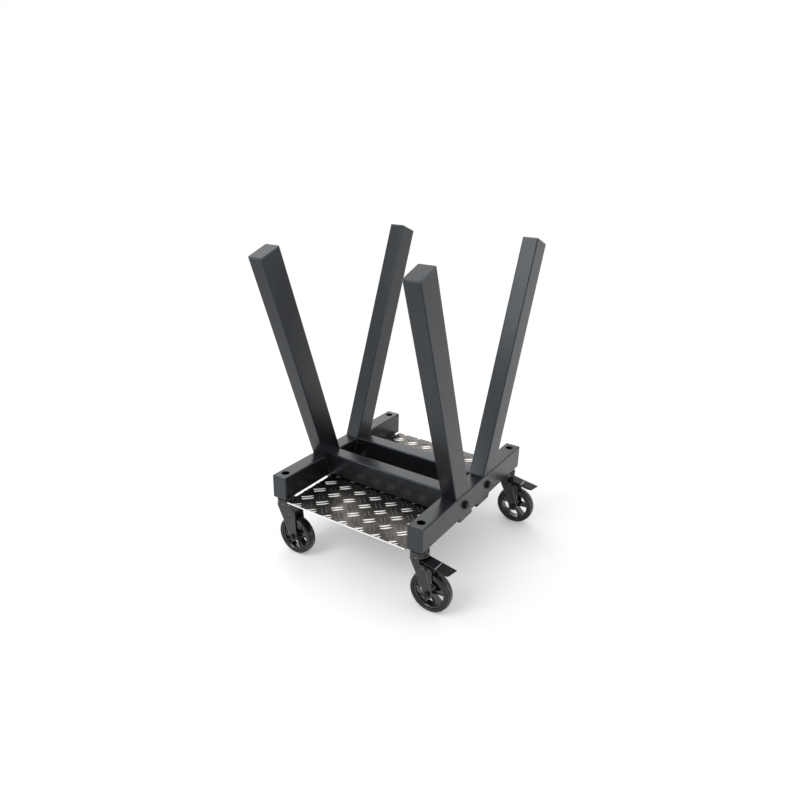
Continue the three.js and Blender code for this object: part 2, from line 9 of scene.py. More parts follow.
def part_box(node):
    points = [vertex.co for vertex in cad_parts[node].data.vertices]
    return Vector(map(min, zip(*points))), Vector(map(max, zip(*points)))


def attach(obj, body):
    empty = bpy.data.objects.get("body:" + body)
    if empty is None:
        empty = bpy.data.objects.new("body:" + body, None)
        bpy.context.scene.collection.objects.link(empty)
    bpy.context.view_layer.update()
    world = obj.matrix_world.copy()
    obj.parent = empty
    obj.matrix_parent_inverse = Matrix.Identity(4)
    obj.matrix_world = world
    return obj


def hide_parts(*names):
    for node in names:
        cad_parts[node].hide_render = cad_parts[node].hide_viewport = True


# Fireside log cart: leaning tube uprights on a low frame, tread plate shelf, swivel casters.
# Sizes in the dictionaries are millimetres, the model itself is in metres.

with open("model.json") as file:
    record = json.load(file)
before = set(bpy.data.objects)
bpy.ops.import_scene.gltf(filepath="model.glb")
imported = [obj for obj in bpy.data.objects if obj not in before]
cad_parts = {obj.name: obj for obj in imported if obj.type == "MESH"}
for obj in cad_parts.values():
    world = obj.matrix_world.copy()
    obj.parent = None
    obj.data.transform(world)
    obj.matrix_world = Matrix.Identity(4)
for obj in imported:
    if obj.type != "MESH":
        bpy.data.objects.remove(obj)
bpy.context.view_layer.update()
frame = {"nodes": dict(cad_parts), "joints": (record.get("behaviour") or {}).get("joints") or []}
mm = 0.001
print("frame loaded,", len(frame["nodes"]), "nodes")


# where things are, read from the frame

def boxCentre(name):
    low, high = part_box(name)
    return (low + high) / 2


def boxSize(name):
    low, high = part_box(name)
    return (high - low) / mm


frameX = (boxCentre("left_rail").x + boxCentre("right_rail").x) / 2
railUnder, railTop = (corner.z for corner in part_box("left_rail"))
boltHeight = (railUnder + railTop) / 2
jointSpots = {j["name"]: Vector(j["pos_m"]) for j in frame["joints"]}
corners = [("front_left", -1, -1), ("front_right", 1, -1),
           ("rear_left", -1, 1), ("rear_right", 1, 1)]


# mesh helpers

def arc(u, v, across, up, start, end, steps):
    # points round (u, v), by degrees; across and up are its two radii
    angles = [math.radians(start + (end - start) * i / steps) for i in range(steps + 1)]
    return [(u + across * math.cos(a), v + up * math.sin(a)) for a in angles]


def roundedLoop(wide, high, radius, steps):
    points = []
    for sx, sy, start in ((1, -1, -90), (1, 1, 0), (-1, 1, 90), (-1, -1, 180)):
        u, v = sx * (wide / 2 - radius), sy * (high / 2 - radius)
        points += arc(u, v, radius, radius, start, start + 90, steps)
    return points


def neighbours(rings, closed):
    return list(zip(rings, rings[1:])) + ([(rings[-1], rings[0])] if closed else [])


def loft(bm, loops, closed=False):
    # skins a list of equally long loops, with flat ends unless the last meets the first
    rings = [[bm.verts.new(p) for p in loop] for loop in loops]
    for a, b in neighbours(rings, closed):
        for i in range(len(a)):
            k = (i + 1) % len(a)
            bm.faces.new((a[i], a[k], b[k], b[i]))
    if not closed:
        bm.faces.new(rings[0][::-1])
        bm.faces.new(rings[-1])


def turned(bm, profile, sides, place):
    # turns (radius, height) points about an axis; place(u, v, h) puts each point in the world
    closed = profile[0] == profile[-1]
    rings = []
    for radius, height in profile[:-1] if closed else profile:
        around = arc(0, 0, radius, radius, 0, 360, sides)[:-1] if radius > 0 else [(0, 0)]
        rings.append([bm.verts.new(place(u, v, height)) for u, v in around])
    for a, b in neighbours(rings, closed):
        for i in range(sides):
            k = (i + 1) % sides
            face = [a[i % len(a)], a[k % len(a)], b[k % len(b)], b[i % len(b)]]
            bm.faces.new([v for n, v in enumerate(face) if v not in face[:n]])


def prism(bm, outline, place, low, high):
    # a flat outline of (u, v) points given thickness; place(u, v, t) puts it in the world
    loft(bm, [[place(u, v, t) for u, v in outline] for t in (low, high)])


def roundCorners(outline, radius, steps=4):
    # the same outline with each corner turned into a short arc, at most 0.45 of a side long
    done = []
    for i, corner in enumerate(outline):
        here = Vector(corner)
        toBefore = Vector(outline[i - 1]) - here
        toAfter = Vector(outline[(i + 1) % len(outline)]) - here
        reach = min(radius, toBefore.length * 0.45, toAfter.length * 0.45)
        a, b = here + toBefore.normalized() * reach, here + toAfter.normalized() * reach
        for t in (k / steps for k in range(steps + 1)):
            done.append(tuple(a * (1 - t) ** 2 + here * 2 * t * (1 - t) + b * t ** 2))
    return done


def addObject(name, data):
    made = bpy.data.objects.new(name, data)
    bpy.context.scene.collection.objects.link(made)
    return made


def looseObject(name, bm):
    bmesh.ops.recalc_face_normals(bm, faces=bm.faces)
    mesh = bpy.data.meshes.new(name)
    bm.to_mesh(mesh)
    bm.free()
    return addObject(name, mesh)


def makePlain(piece):
    # bakes the modifiers into an ordinary mesh
    bpy.context.view_layer.update()
    depsgraph = bpy.context.evaluated_depsgraph_get()
    mesh = bpy.data.meshes.new_from_object(piece.evaluated_get(depsgraph), depsgraph=depsgraph,
                                           preserve_all_data_layers=True)
    piece.modifiers.clear()
    piece.data = mesh
    return piece


def softenEdges(piece, width=0.0, angle=32):
    # optional small bevel, then smooth shading that keeps the big faces flat
    piece.data.shade_smooth()
    if width > 0:
        bevel = piece.modifiers.new("edge", "BEVEL")
        bevel.width, bevel.segments = width * mm, 2
        bevel.limit_method, bevel.angle_limit = "ANGLE", math.radians(angle)
        bevel.miter_outer = "MITER_ARC"
        makePlain(piece)
    piece.data.shade_smooth()
    piece.data.set_sharp_from_angle(angle=math.radians(angle))
    weight = piece.modifiers.new("weight", "WEIGHTED_NORMAL")
    weight.keep_sharp = True
    return makePlain(piece)


def settle(piece, material, body, slotName, *nodes):
    # finish, body and the CAD nodes that this piece stands for; the slot name is not used
    piece.data.materials.clear()
    piece.data.materials.append(material)
    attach(piece, body)
    if nodes:
        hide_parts(*nodes)


def cutWith(piece, cutters):
    for cutter in cutters:
        cut = piece.modifiers.new("cut", "BOOLEAN")
        cut.object, cut.operation, cut.solver = cutter, "DIFFERENCE", "EXACT"
    makePlain(piece)
    for cutter in cutters:
        bpy.data.objects.remove(cutter)
    return piece


def socketScrew(name, profile, sides, place, keyRadius, keyDeep):
    # turned screw with a hexagon socket in the end that the profile stops at
    screw, socket = bmesh.new(), bmesh.new()
    turned(screw, profile, sides, place)
    low, over = profile[-1][1] - keyDeep, profile[-1][1] + 1
    turned(socket, [(0, low), (keyRadius, low), (keyRadius, over), (0, over)], 6, place)
    cut = cutWith(looseObject(name, screw), [looseObject("cutter", socket)])
    return softenEdges(cut, angle=28)


def turnedPiece(name, profile, sides, place, angle=38):
    bm = bmesh.new()
    turned(bm, profile, sides, place)
    return softenEdges(looseObject(name, bm), angle=angle)


def slab(name, outline, place, low, high, width=0.0, angle=40):
    bm = bmesh.new()
    prism(bm, outline, place, low, high)
    return softenEdges(looseObject(name, bm), width=width, angle=angle)


def loftedPiece(name, loops, angle):
    bm = bmesh.new()
    loft(bm, loops)
    return softenEdges(looseObject(name, bm), angle=angle)


def standing(centre):
    # local millimetres to the world, with the axis upwards
    return lambda u, v, h: centre + Vector((u, v, h)) * mm


def lying(centre):
    # the same with the axis from front to back, as an axle lies
    return lambda u, v, h: centre + Vector((u, h, v)) * mm


# shader groups

def feed(tree, node, inputs):
    # another node's socket is linked, anything else is set as the socket's own value
    for key, value in inputs.items():
        if isinstance(value, bpy.types.NodeSocket):
            tree.links.new(value, node.inputs[key])
        else:
            node.inputs[key].default_value = value


def addNode(tree, kind, inputs=None, **settings):
    made = tree.nodes.new(kind)
    for key, value in settings.items():
        setattr(made, key, value)
    feed(tree, made, inputs or {})
    return made


def newGroup(name, inputs, outputs):
    # inputs and their values, and outputs, are all plain numbers
    tree = bpy.data.node_groups.new(name, "ShaderNodeTree")
    for label, value in inputs.items():
        made = tree.interface.new_socket(label, in_out="INPUT", socket_type="NodeSocketFloat")
        made.default_value = value
    for label in outputs:
        tree.interface.new_socket(label, in_out="OUTPUT", socket_type="NodeSocketFloat")
    return tree, addNode(tree, "NodeGroupInput").outputs, addNode(tree, "NodeGroupOutput")


def mathNode(tree, operation, a, b=None, clamp=False):
    inputs = {0: a} if b is None else {0: a, 1: b}
    return addNode(tree, "ShaderNodeMath", inputs, operation=operation, use_clamp=clamp).outputs[0]


def mapRange(tree, value, low, high, toLow=0.0, toHigh=1.0):
    return addNode(tree, "ShaderNodeMapRange", {"Value": value, "From Min": low, "From Max": high,
                                                "To Min": toLow, "To Max": toHigh}).outputs[0]


def noise(tree, vector, scale, detail=3.0, rough=0.55, distortion=0.0):
    made = addNode(tree, "ShaderNodeTexNoise", {"Vector": vector, "Scale": scale, "Detail": detail,
                                                "Roughness": rough, "Distortion": distortion})
    return made.outputs["Fac"]


def mixColour(tree, factor, a, b):
    return addNode(tree, "ShaderNodeMix", {0: factor, 6: a, 7: b}, data_type="RGBA").outputs[2]


def ownPlace(tree):
    return addNode(tree, "ShaderNodeTexCoord").outputs["Object"]


def facing(tree, output="Normal"):
    # how far the face looks up or down
    normal = addNode(tree, "ShaderNodeNewGeometry").outputs[output]
    return addNode(tree, "ShaderNodeSeparateXYZ", {0: normal}).outputs["Z"]


marks = dict(flat=0.985, sharp=0.9, wearFade=0.12, gritFiner=3.7, smudge=(0.35, 0.7), looksUp=(0.45, 1.0),
             specks=(0.42, 0.72), scuff=(0.64, 0.72), scuffTurn=(0.3, 0.5, 0.7),
             scuffStretch=(14.0, 160.0, 160.0))


def buildEdgeWearAndHighlight():
    # bright line where two faces meet, broken up so that it comes and goes: wear, and on the caps and the
    # fork also a painted highlight
    tree, given, result = newGroup("edgeWear", {"Radius": 0.0012, "Breakup": 120.0, "Cover": 0.5}, ["Mask"])
    place = ownPlace(tree)
    bevel = addNode(tree, "ShaderNodeBevel", {"Radius": given["Radius"]}, samples=6)
    flat = addNode(tree, "ShaderNodeNewGeometry").outputs["Normal"]
    dot = addNode(tree, "ShaderNodeVectorMath", {0: bevel.outputs[0], 1: flat}, operation="DOT_PRODUCT")
    edge = mapRange(tree, dot.outputs["Value"], marks["flat"], marks["sharp"])
    patches = noise(tree, place, given["Breakup"], 4.0, 0.65)
    least = mathNode(tree, "SUBTRACT", 1.0, given["Cover"])
    broken = mapRange(tree, patches, least, mathNode(tree, "ADD", least, marks["wearFade"]))
    feed(tree, result, {"Mask": mathNode(tree, "MULTIPLY", edge, broken)})
    return tree


def buildSurfaceGrain():
    # the orange peel of a sprayed or powdered coat, plus a finer grit on top
    tree, given, result = newGroup("surfaceGrain", {"Scale": 700.0, "Grit": 0.35}, ["Height"])
    place = ownPlace(tree)
    peel = noise(tree, place, given["Scale"], 2.0, 0.5)
    finer = mathNode(tree, "MULTIPLY", given["Scale"], marks["gritFiner"])
    grit = mathNode(tree, "MULTIPLY", noise(tree, place, finer, 2.0, 0.6), given["Grit"])
    feed(tree, result, {"Height": mathNode(tree, "ADD", peel, grit)})
    return tree


def buildHandling():
    # smudge: slow change of shine from hands and wiping; dust: thin film on faces that look up;
    # scuff: thin streaks where something rubbed along
    tree, given, result = newGroup("handling", {"Smudge Scale": 9.0, "Dust Scale": 45.0},
                                   ["Smudge", "Dust", "Scuff"])
    place = ownPlace(tree)
    smudge = mapRange(tree, noise(tree, place, given["Smudge Scale"], 5.0, 0.6, 0.6), *marks["smudge"])
    film = mapRange(tree, facing(tree), *marks["looksUp"])
    specks = mapRange(tree, noise(tree, place, given["Dust Scale"], 8.0, 0.75), *marks["specks"])
    stretched = addNode(tree, "ShaderNodeMapping", {"Vector": place, "Rotation": marks["scuffTurn"],
                                                    "Scale": marks["scuffStretch"]}).outputs[0]
    scuff = mapRange(tree, noise(tree, stretched, 1.0, 6.0, 0.7), *marks["scuff"])
    dust = mathNode(tree, "MULTIPLY", film, specks)
    feed(tree, result, {"Smudge": smudge, "Dust": dust, "Scuff": scuff})
    return tree


edgeWear, surfaceGrain, handling = buildEdgeWearAndHighlight(), buildSurfaceGrain(), buildHandling()


def newMaterial(name):
    material = bpy.data.materials.new(name)
    material.use_nodes = True
    tree = material.node_tree
    tree.nodes.clear()
    shader = addNode(tree, "ShaderNodeBsdfPrincipled")
    addNode(tree, "ShaderNodeOutputMaterial", {"Surface": shader.outputs[0]})
    return material, tree, shader


def useGroup(tree, group, **values):
    made = addNode(tree, "ShaderNodeGroup", node_tree=group)
    for label, value in values.items():
        made.inputs[label.replace("_", " ")].default_value = value
    return made


def coatedMaterial(name, look):
    # one recipe for everything that is sprayed, moulded or blackened
    material, tree, shader = newMaterial(name)
    # edge colour: wear on most finishes, and on the caps and the fork also a painted highlight
    wearAndHighlight = useGroup(tree, edgeWear, Radius=look["wearWidth"], Breakup=look["wearBreakup"],
                    Cover=look["wearCover"])
    grain = useGroup(tree, surfaceGrain, Scale=look["grain"], Grit=look["grit"])
    hands = useGroup(tree, handling, Smudge_Scale=look["smudge"], Dust_Scale=look["dustScale"])
    wornAndHighlighted = mathNode(tree, "MULTIPLY", wearAndHighlight.outputs["Mask"], look["wearAmount"])
    dusty = mathNode(tree, "MULTIPLY", hands.outputs["Dust"], look["dustAmount"])
    scuffed = mathNode(tree, "MULTIPLY", hands.outputs["Scuff"], look["scuffAmount"])
    colour = mixColour(tree, wornAndHighlighted, look["colour"], look["wearColour"])
    colour = mixColour(tree, scuffed, colour, look["scuffColour"])
    colour = mixColour(tree, dusty, colour, look["dustColour"])
    rough = mapRange(tree, hands.outputs["Smudge"], 0.0, 1.0, *look["rough"])
    rough = mathNode(tree, "ADD", rough, mathNode(tree, "MULTIPLY", dusty, 0.5), clamp=True)
    bump = addNode(tree, "ShaderNodeBump", {"Strength": look["bump"], "Distance": look["bumpDepth"],
                                            "Height": grain.outputs["Height"]})
    feed(tree, shader, {"Base Color": colour, "Roughness": rough, "Normal": bump.outputs[0],
                        "Metallic": look["metal"], "Specular IOR Level": look["shine"],
                        "Specular Tint": look["tint"]})
    return material


plainTint = (1, 1, 1, 1)
# the coat's bluish colour and bluish shine tint paint a blue cast of the surroundings onto the black; bolts
# and caps take the tint over
coatLook = dict(colour=(0.0095, 0.0105, 0.0125, 1), tint=(0.86, 0.94, 1.0, 1), shine=0.45, metal=0.0,
                rough=(0.25, 0.3), smudge=5.0, grain=620.0, grit=0.4, bump=0.12, bumpDepth=0.0006,
                wearColour=(0.13, 0.14, 0.155, 1), wearAmount=0.7, wearWidth=0.0011, wearBreakup=60.0,
                wearCover=0.8, dustColour=(0.13, 0.125, 0.12, 1), dustAmount=0.035, dustScale=60.0,
                scuffColour=(0.03, 0.031, 0.034, 1), scuffAmount=0.12)
# caps: the bluer colour is more of the painted blue cast; the light bluish edge colour is wear and a painted
# highlight along the rounded rims
capLook = dict(coatLook, colour=(0.0115, 0.0135, 0.0162, 1), shine=0.5, rough=(0.3, 0.36), grain=1500.0,
               bump=0.2, bumpDepth=0.0003, wearColour=(0.2, 0.23, 0.26, 1), wearAmount=0.8, wearCover=0.85)
boltLook = dict(coatLook, colour=(0.004, 0.004, 0.0045, 1), shine=0.25, rough=(0.16, 0.26), grain=2500.0,
                bump=0.06, wearColour=(0.2, 0.19, 0.18, 1), wearAmount=0.3, wearWidth=0.0006,
                wearBreakup=400.0, dustAmount=0.015, scuffAmount=0.05)
# the fork's light edge colour is wear and a painted highlight outlining the pressed bosses
forkLook = dict(coatLook, colour=(0.017, 0.017, 0.017, 1), tint=plainTint, shine=0.5, metal=0.15,
                rough=(0.16, 0.26), grain=1100.0, bump=0.08, wearColour=(0.3, 0.29, 0.28, 1),
                wearAmount=0.6, wearWidth=0.0010, wearBreakup=150.0, scuffAmount=0.25)
pedalLook = dict(forkLook, colour=(0.0045, 0.0048, 0.0075, 1), shine=0.24, metal=0.0, rough=(0.2, 0.3),
                 wearColour=(0.14, 0.135, 0.13, 1), wearAmount=0.35, wearWidth=0.0008,
                 dustAmount=0.015, scuffAmount=0.1)
rimLook = dict(coatLook, colour=(0.004, 0.004, 0.0042, 1), tint=plainTint, shine=0.8, rough=(0.04, 0.08),
               grain=240.0, bump=0.04, wearAmount=0.15, wearWidth=0.0007, dustAmount=0.02,
               scuffAmount=0.05)
tyreLook = dict(coatLook, colour=(0.005, 0.005, 0.005, 1), tint=plainTint, shine=0.42, rough=(0.15, 0.24),
                grain=900.0, grit=0.8, bumpDepth=0.0005, wearColour=(0.04, 0.039, 0.037, 1),
                wearAmount=0.35, wearWidth=0.0010, dustColour=(0.16, 0.15, 0.135, 1), dustAmount=0.03,
                scuffAmount=0.08)
zincLook = dict(coatLook, colour=(0.42, 0.42, 0.43, 1), tint=plainTint, metal=1.0, rough=(0.22, 0.42),
                grain=2200.0, bump=0.1, wearColour=(0.7, 0.7, 0.7, 1), wearAmount=0.4, wearWidth=0.0005,
                dustAmount=0.05, scuffColour=(0.25, 0.24, 0.22, 1))

powderCoat = coatedMaterial("powderCoatBlack", coatLook)
capPlastic = coatedMaterial("endCapBlack", capLook)
blackBolt = coatedMaterial("blackOxideBolt", boltLook)
forkCoat = coatedMaterial("casterBlack", forkLook)
pedalCoat = coatedMaterial("pedalBlack", pedalLook)
rimGloss = coatedMaterial("rimGlossBlack", rimLook)
tyreRubber = coatedMaterial("tyreRubber", tyreLook)
padRubber = coatedMaterial("padRubber", dict(tyreLook, rough=(0.6, 0.75)))
dullZinc = coatedMaterial("dullZinc", zincLook)
bareStrip = coatedMaterial("rubbedStrip", dict(zincLook, colour=(0.3, 0.3, 0.31, 1), rough=(0.3, 0.45)))

# the ground colours and the dull bar top are painted dark, brownish reflections; the bright bar top is shown
# as a painted highlight; the two distances across the plate bound a painted shade in its middle
treadLook = dict(ground=(0.135, 0.12, 0.105, 1), groundDark=(0.05, 0.044, 0.038, 1),
                 barTop=(0.95, 0.945, 0.93, 1), dullTop=(0.13, 0.13, 0.14, 1), edge=(0.95, 0.95, 0.95, 1),
                 roughGround=(0.24, 0.4), roughBar=0.34, polishFrom=0.35, polishTo=0.9, coveredTo=0.088,
                 rubbedFrom=0.112, rolling=(900.0, 22.0, 900.0), streaks=(0.3, 0.7), streakAmount=0.35,
                 stain=(0.38, 0.66), stainScale=26.0, edgeBelow=0.1, edgeTilt=0.5,
                 streakBump=(0.12, 0.0004), grainBump=(0.1, 0.0006), grain=260.0, grit=0.5)


def buildTreadMaterial(level):
    # mill-finish sheet: painted dark brownish reflection between the bars and on the bars of one direction;
    # painted highlight on the bars of the other direction, under painted shade in the middle of the plate;
    # bright at its sheared edges
    look = treadLook
    material, tree, shader = newMaterial("treadAluminium")
    place = ownPlace(tree)
    spot = addNode(tree, "ShaderNodeSeparateXYZ", {0: place})
    height = spot.outputs["Z"]
    top = mapRange(tree, height, level + look["polishFrom"] * mm, level + look["polishTo"] * mm)
    # painted highlight: bars of one direction get the bright bar colour, the other direction stays dark
    rubbed = addNode(tree, "ShaderNodeAttribute", attribute_name="rubbed").outputs["Fac"]
    # painted shade: the bar highlight fades out in the middle of the plate, under and between the cross
    # members
    alongPlate = mathNode(tree, "ABSOLUTE", spot.outputs["Y"])
    clearOfBarShade = mapRange(tree, alongPlate, look["coveredTo"], look["rubbedFrom"])
    rubbed = mathNode(tree, "MULTIPLY", rubbed, clearOfBarShade)
    rolled = addNode(tree, "ShaderNodeMapping", {"Vector": place, "Scale": look["rolling"]}).outputs[0]
    streaks = noise(tree, rolled, 1.0, 5.0, 0.6)
    hands = useGroup(tree, handling, Smudge_Scale=14.0, Dust_Scale=90.0)
    stain = mapRange(tree, noise(tree, place, look["stainScale"], 6.0, 0.65, 0.8), *look["stain"])
    # painted reflection: the ground between the bars is dark brownish, varied at random by the stain noise
    ground = mixColour(tree, stain, look["ground"], look["groundDark"])
    rolling = mapRange(tree, streaks, *look["streaks"], 0.0, look["streakAmount"])
    ground = mixColour(tree, rolling, ground, look["ground"])
    barColour = mixColour(tree, rubbed, look["dullTop"], look["barTop"])
    colour = mixColour(tree, top, ground, barColour)
    tilt = mathNode(tree, "ABSOLUTE", facing(tree, "True Normal"))
    below = mathNode(tree, "LESS_THAN", height, level - look["edgeBelow"] * mm)
    sheared = mathNode(tree, "MULTIPLY", mathNode(tree, "LESS_THAN", tilt, look["edgeTilt"]), below)
    colour = mixColour(tree, sheared, colour, look["edge"])
    dull = mapRange(tree, hands.outputs["Smudge"], 0.0, 1.0, *look["roughGround"])
    rough = addNode(tree, "ShaderNodeMix", {0: top, 2: dull, 3: look["roughBar"]}).outputs[0]
    strength, distance = look["streakBump"]
    bump = addNode(tree, "ShaderNodeBump", {"Strength": strength, "Distance": distance,
                                            "Height": streaks}).outputs[0]
    grain = useGroup(tree, surfaceGrain, Scale=look["grain"], Grit=look["grit"]).outputs["Height"]
    strength, distance = look["grainBump"]
    second = addNode(tree, "ShaderNodeBump", {"Strength": strength, "Distance": distance,
                                              "Height": grain, "Normal": bump})
    feed(tree, shader, {"Base Color": colour, "Roughness": rough, "Normal": second.outputs[0],
                        "Metallic": 1.0})
    return material


print("finishes made")


# frame tubes

tube = dict(high=60, wide=40, wall=2, corner=3, cornerSteps=6, accessHole=20, holeInset=24,
            notchGap=0.3, lean=20.3, reach=609, boltSpacing=120, cap=3)
lean = math.radians(tube["lean"])
outerLoop = roundedLoop(tube["wide"], tube["high"], tube["corner"], tube["cornerSteps"])
innerLoop = roundedLoop(tube["wide"] - 2 * tube["wall"], tube["high"] - 2 * tube["wall"],
                        tube["corner"] - tube["wall"], tube["cornerSteps"])


def tubePiece(name, place, low, high):
    # place(u across, v along the long side, t along the tube)
    bm = bmesh.new()
    ends = [(outerLoop, low), (outerLoop, high), (innerLoop, high), (innerLoop, low)]
    loft(bm, [[place(u, v, t) for u, v in loop] for loop, t in ends], closed=True)
    return looseObject(name, bm)


def blockCutter(size, centre, turn):
    bm = bmesh.new()
    bmesh.ops.create_cube(bm, size=1.0)
    bm.transform(Matrix.Translation(centre) @ Matrix.Rotation(turn, 4, "X") @ Matrix.Diagonal((*size, 1)))
    return looseObject("cutter", bm)


def roundCutter(radius, centre, depth):
    bm = bmesh.new()
    half = depth / 2
    turned(bm, [(0, -half), (radius, -half), (radius, half), (0, half)], 48, standing(centre))
    return looseObject("cutter", bm)


def makeRails():
    halfLong = boxSize("left_rail").y / 2
    span, deep = 2 * tube["wide"], tube["high"] + 2 * tube["notchGap"]
    notch = Vector((span, deep, 4 * tube["high"])) * mm
    for side, sideName in ((-1, "Left"), (1, "Right")):
        nodeName = sideName.lower() + "_rail"
        middle = boxCentre(nodeName)
        rail = tubePiece("rail" + sideName, lying(middle), -halfLong, halfLong)
        across = side * (tube["wide"] / 2 - tube["wall"] - span / 2)   # the outer wall stays whole
        cutters = []
        for end in (-1, 1):
            centre = middle + Vector((across, end * tube["boltSpacing"] / 2, 0)) * mm
            cutters.append(blockCutter(notch, centre, -end * lean))
            holeY = end * (halfLong + tube["cap"] - tube["holeInset"]) * mm
            cutters.append(roundCutter(tube["accessHole"] / 2, Vector((middle.x, holeY, railTop)), 8))
        softenEdges(cutWith(rail, cutters), angle=30)
        settle(rail, powderCoat, "frame", "frame_coat", nodeName)


def uprightPlace(name, sideY):
    # local tube to world: u across, v along the long side, t up the leaning axis from the bolt
    base = Vector((boxCentre("upright_" + name).x, sideY * tube["boltSpacing"] / 2 * mm, boltHeight))
    along = Vector((0, sideY * math.sin(lean), math.cos(lean)))
    acrossLong = Vector((0, math.cos(lean), -sideY * math.sin(lean)))
    return lambda u, v, t: base + (Vector((u, 0, 0)) + acrossLong * v + along * t) * mm, along


def makeUprights():
    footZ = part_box("upright_front_left")[0].z
    high = tube["reach"] - tube["cap"]
    for name, _, sideY in corners:
        place, along = uprightPlace(name, sideY)

        def footAt(u, v):
            # the foot is cut level, so every corner of it reaches the same height
            start = place(u, v, 0)
            return start + along * ((footZ - start.z) / along.z)

        def topAt(u, v):
            return place(u, v, high)

        ends = [(outerLoop, footAt), (outerLoop, topAt), (innerLoop, topAt), (innerLoop, footAt)]
        bm = bmesh.new()
        loft(bm, [[at(u, v) for u, v in loop] for loop, at in ends], closed=True)
        upright = softenEdges(looseObject("uprightTube_" + name, bm), angle=30)
        settle(upright, powderCoat, "frame", "frame_coat", "upright_" + name)


def makeCrossMembers():
    for end in ("front", "rear"):
        nodeName = "cross_member_" + end
        middle, half = boxCentre(nodeName), boxSize(nodeName).x / 2
        member = tubePiece("crossTube_" + end, lambda u, v, t: middle + Vector((t, u, v)) * mm, -half, half)
        softenEdges(member, angle=30)
        settle(member, powderCoat, "frame", "frame_coat", nodeName)


capShape = dict(thick=3, edge=1.0, edgeSteps=4, plugDeep=9.5, plugGap=0.25, taper=1.2, taperDeep=2,
                shoulder=0.2, leastCorner=0.6)


def capPiece(name, place, nodeName):
    # moulded insert: plug inside the tube, plate with a rounded rim outside
    c = capShape
    wall = tube["wall"] + c["plugGap"]
    layers = [(wall + c["taper"], -c["plugDeep"]), (wall, c["taperDeep"] - c["plugDeep"]),
              (wall, c["shoulder"]), (0.0, c["shoulder"])]
    layers += arc(c["edge"], c["thick"] - c["edge"], -c["edge"], c["edge"], 0, 90, c["edgeSteps"])
    loops = []
    for inset, t in layers:
        shape = roundedLoop(tube["wide"] - 2 * inset, tube["high"] - 2 * inset,
                            max(tube["corner"] - inset, c["leastCorner"]), tube["cornerSteps"])
        loops.append([place(u, v, t) for u, v in shape])
    settle(loftedPiece(name, loops, 50), capPlastic, "frame", "end_cap", nodeName)


def makeCaps():
    lift = tube["reach"] - tube["cap"]
    for name, _, sideY in corners:
        nodeName = "rail_cap_" + name
        low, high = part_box(nodeName)
        face = (low if sideY < 0 else high).y - sideY * capShape["thick"] * mm
        start = Vector(((low.x + high.x) / 2, face, boltHeight))
        capPiece("railCap_" + name, lambda u, v, t: start + Vector((u, sideY * t, v)) * mm, nodeName)
        place, _ = uprightPlace(name, sideY)
        capPiece("uprightCap_" + name, lambda u, v, t: place(u, v, t + lift), "upright_cap_" + name)


makeRails()
makeUprights()
makeCrossMembers()
makeCaps()
print("tubes and caps made")


# geometry node helpers

def newGeometryTree(name, inputs):
    tree = bpy.data.node_groups.new(name, "GeometryNodeTree")
    for label, kind in (("Geometry", "Geometry"), *inputs.items(), ("Material", "Material")):
        tree.interface.new_socket(label, in_out="INPUT", socket_type="NodeSocket" + kind)
    tree.interface.new_socket("Geometry", in_out="OUTPUT", socket_type="NodeSocketGeometry")
    return tree, addNode(tree, "NodeGroupInput").outputs


def runTree(piece, tree, **values):
    modifier = piece.modifiers.new(tree.name, "NODES")
    modifier.node_group = tree
    for item in tree.interface.items_tree:
        key = item.name.replace(" ", "")
        key = key[0].lower() + key[1:]
        if item.in_out == "INPUT" and key in values:
            modifier[item.identifier] = values[key]
    return makePlain(piece)


def endTree(tree, geometry, material):
    real = addNode(tree, "GeometryNodeRealizeInstances", {0: geometry})
    dressed = addNode(tree, "GeometryNodeSetMaterial", {"Geometry": real.outputs[0], "Material": material})
    addNode(tree, "NodeGroupOutput", {0: dressed.outputs[0]})
    return tree


def buildFastenerTree():
    # puts one fastener on every point of the host, turned by the point's own "turn"
    tree, given = newGeometryTree("fastenersOnPoints", {"Fastener": "Object", "Size": "Float"})
    part = addNode(tree, "GeometryNodeObjectInfo", {"Object": given["Fastener"]})
    turn = addNode(tree, "GeometryNodeInputNamedAttribute", {"Name": "turn"}, data_type="FLOAT_VECTOR")
    spread = addNode(tree, "GeometryNodeInstanceOnPoints", {
        "Points": given["Geometry"], "Instance": part.outputs["Geometry"],
        "Rotation": turn.outputs["Attribute"], "Scale": given["Size"]})
    return endTree(tree, spread.outputs[0], given["Material"])


fastenerTree = buildFastenerTree()


def placeFasteners(name, part, spots, material):
    # spots: list of (position, euler turn)
    mesh = bpy.data.meshes.new(name)
    mesh.from_pydata([tuple(p) for p, _ in spots], [], [])
    turns = mesh.attributes.new("turn", "FLOAT_VECTOR", "POINT")
    for i, (_, turn) in enumerate(spots):
        turns.data[i].vector = turn
    host = addObject(name, mesh)
    runTree(host, fastenerTree, fastener=part, size=1.0, material=material)
    bpy.data.objects.remove(part)
    return host


# bolts and screws of the frame

crossBolt = dict(shank=5, tipCut=0.8, tipHigh=0.9, threadGap=0.1, washer=12, washerThick=1.6, edge=0.3,
                 edgeWide=0.35, head=9.5, headHigh=6.5, headEdge=0.25, crownWide=0.4, crownHigh=0.62,
                 key=6, keyDeep=4)
plateScrew = dict(shank=3, under=11, threadGap=0.1, head=5.6, headHigh=3, edge=0.2, edgeHigh=0.25,
                  crownFrom=0.4, keyRadius=2.3, keyDeep=2)


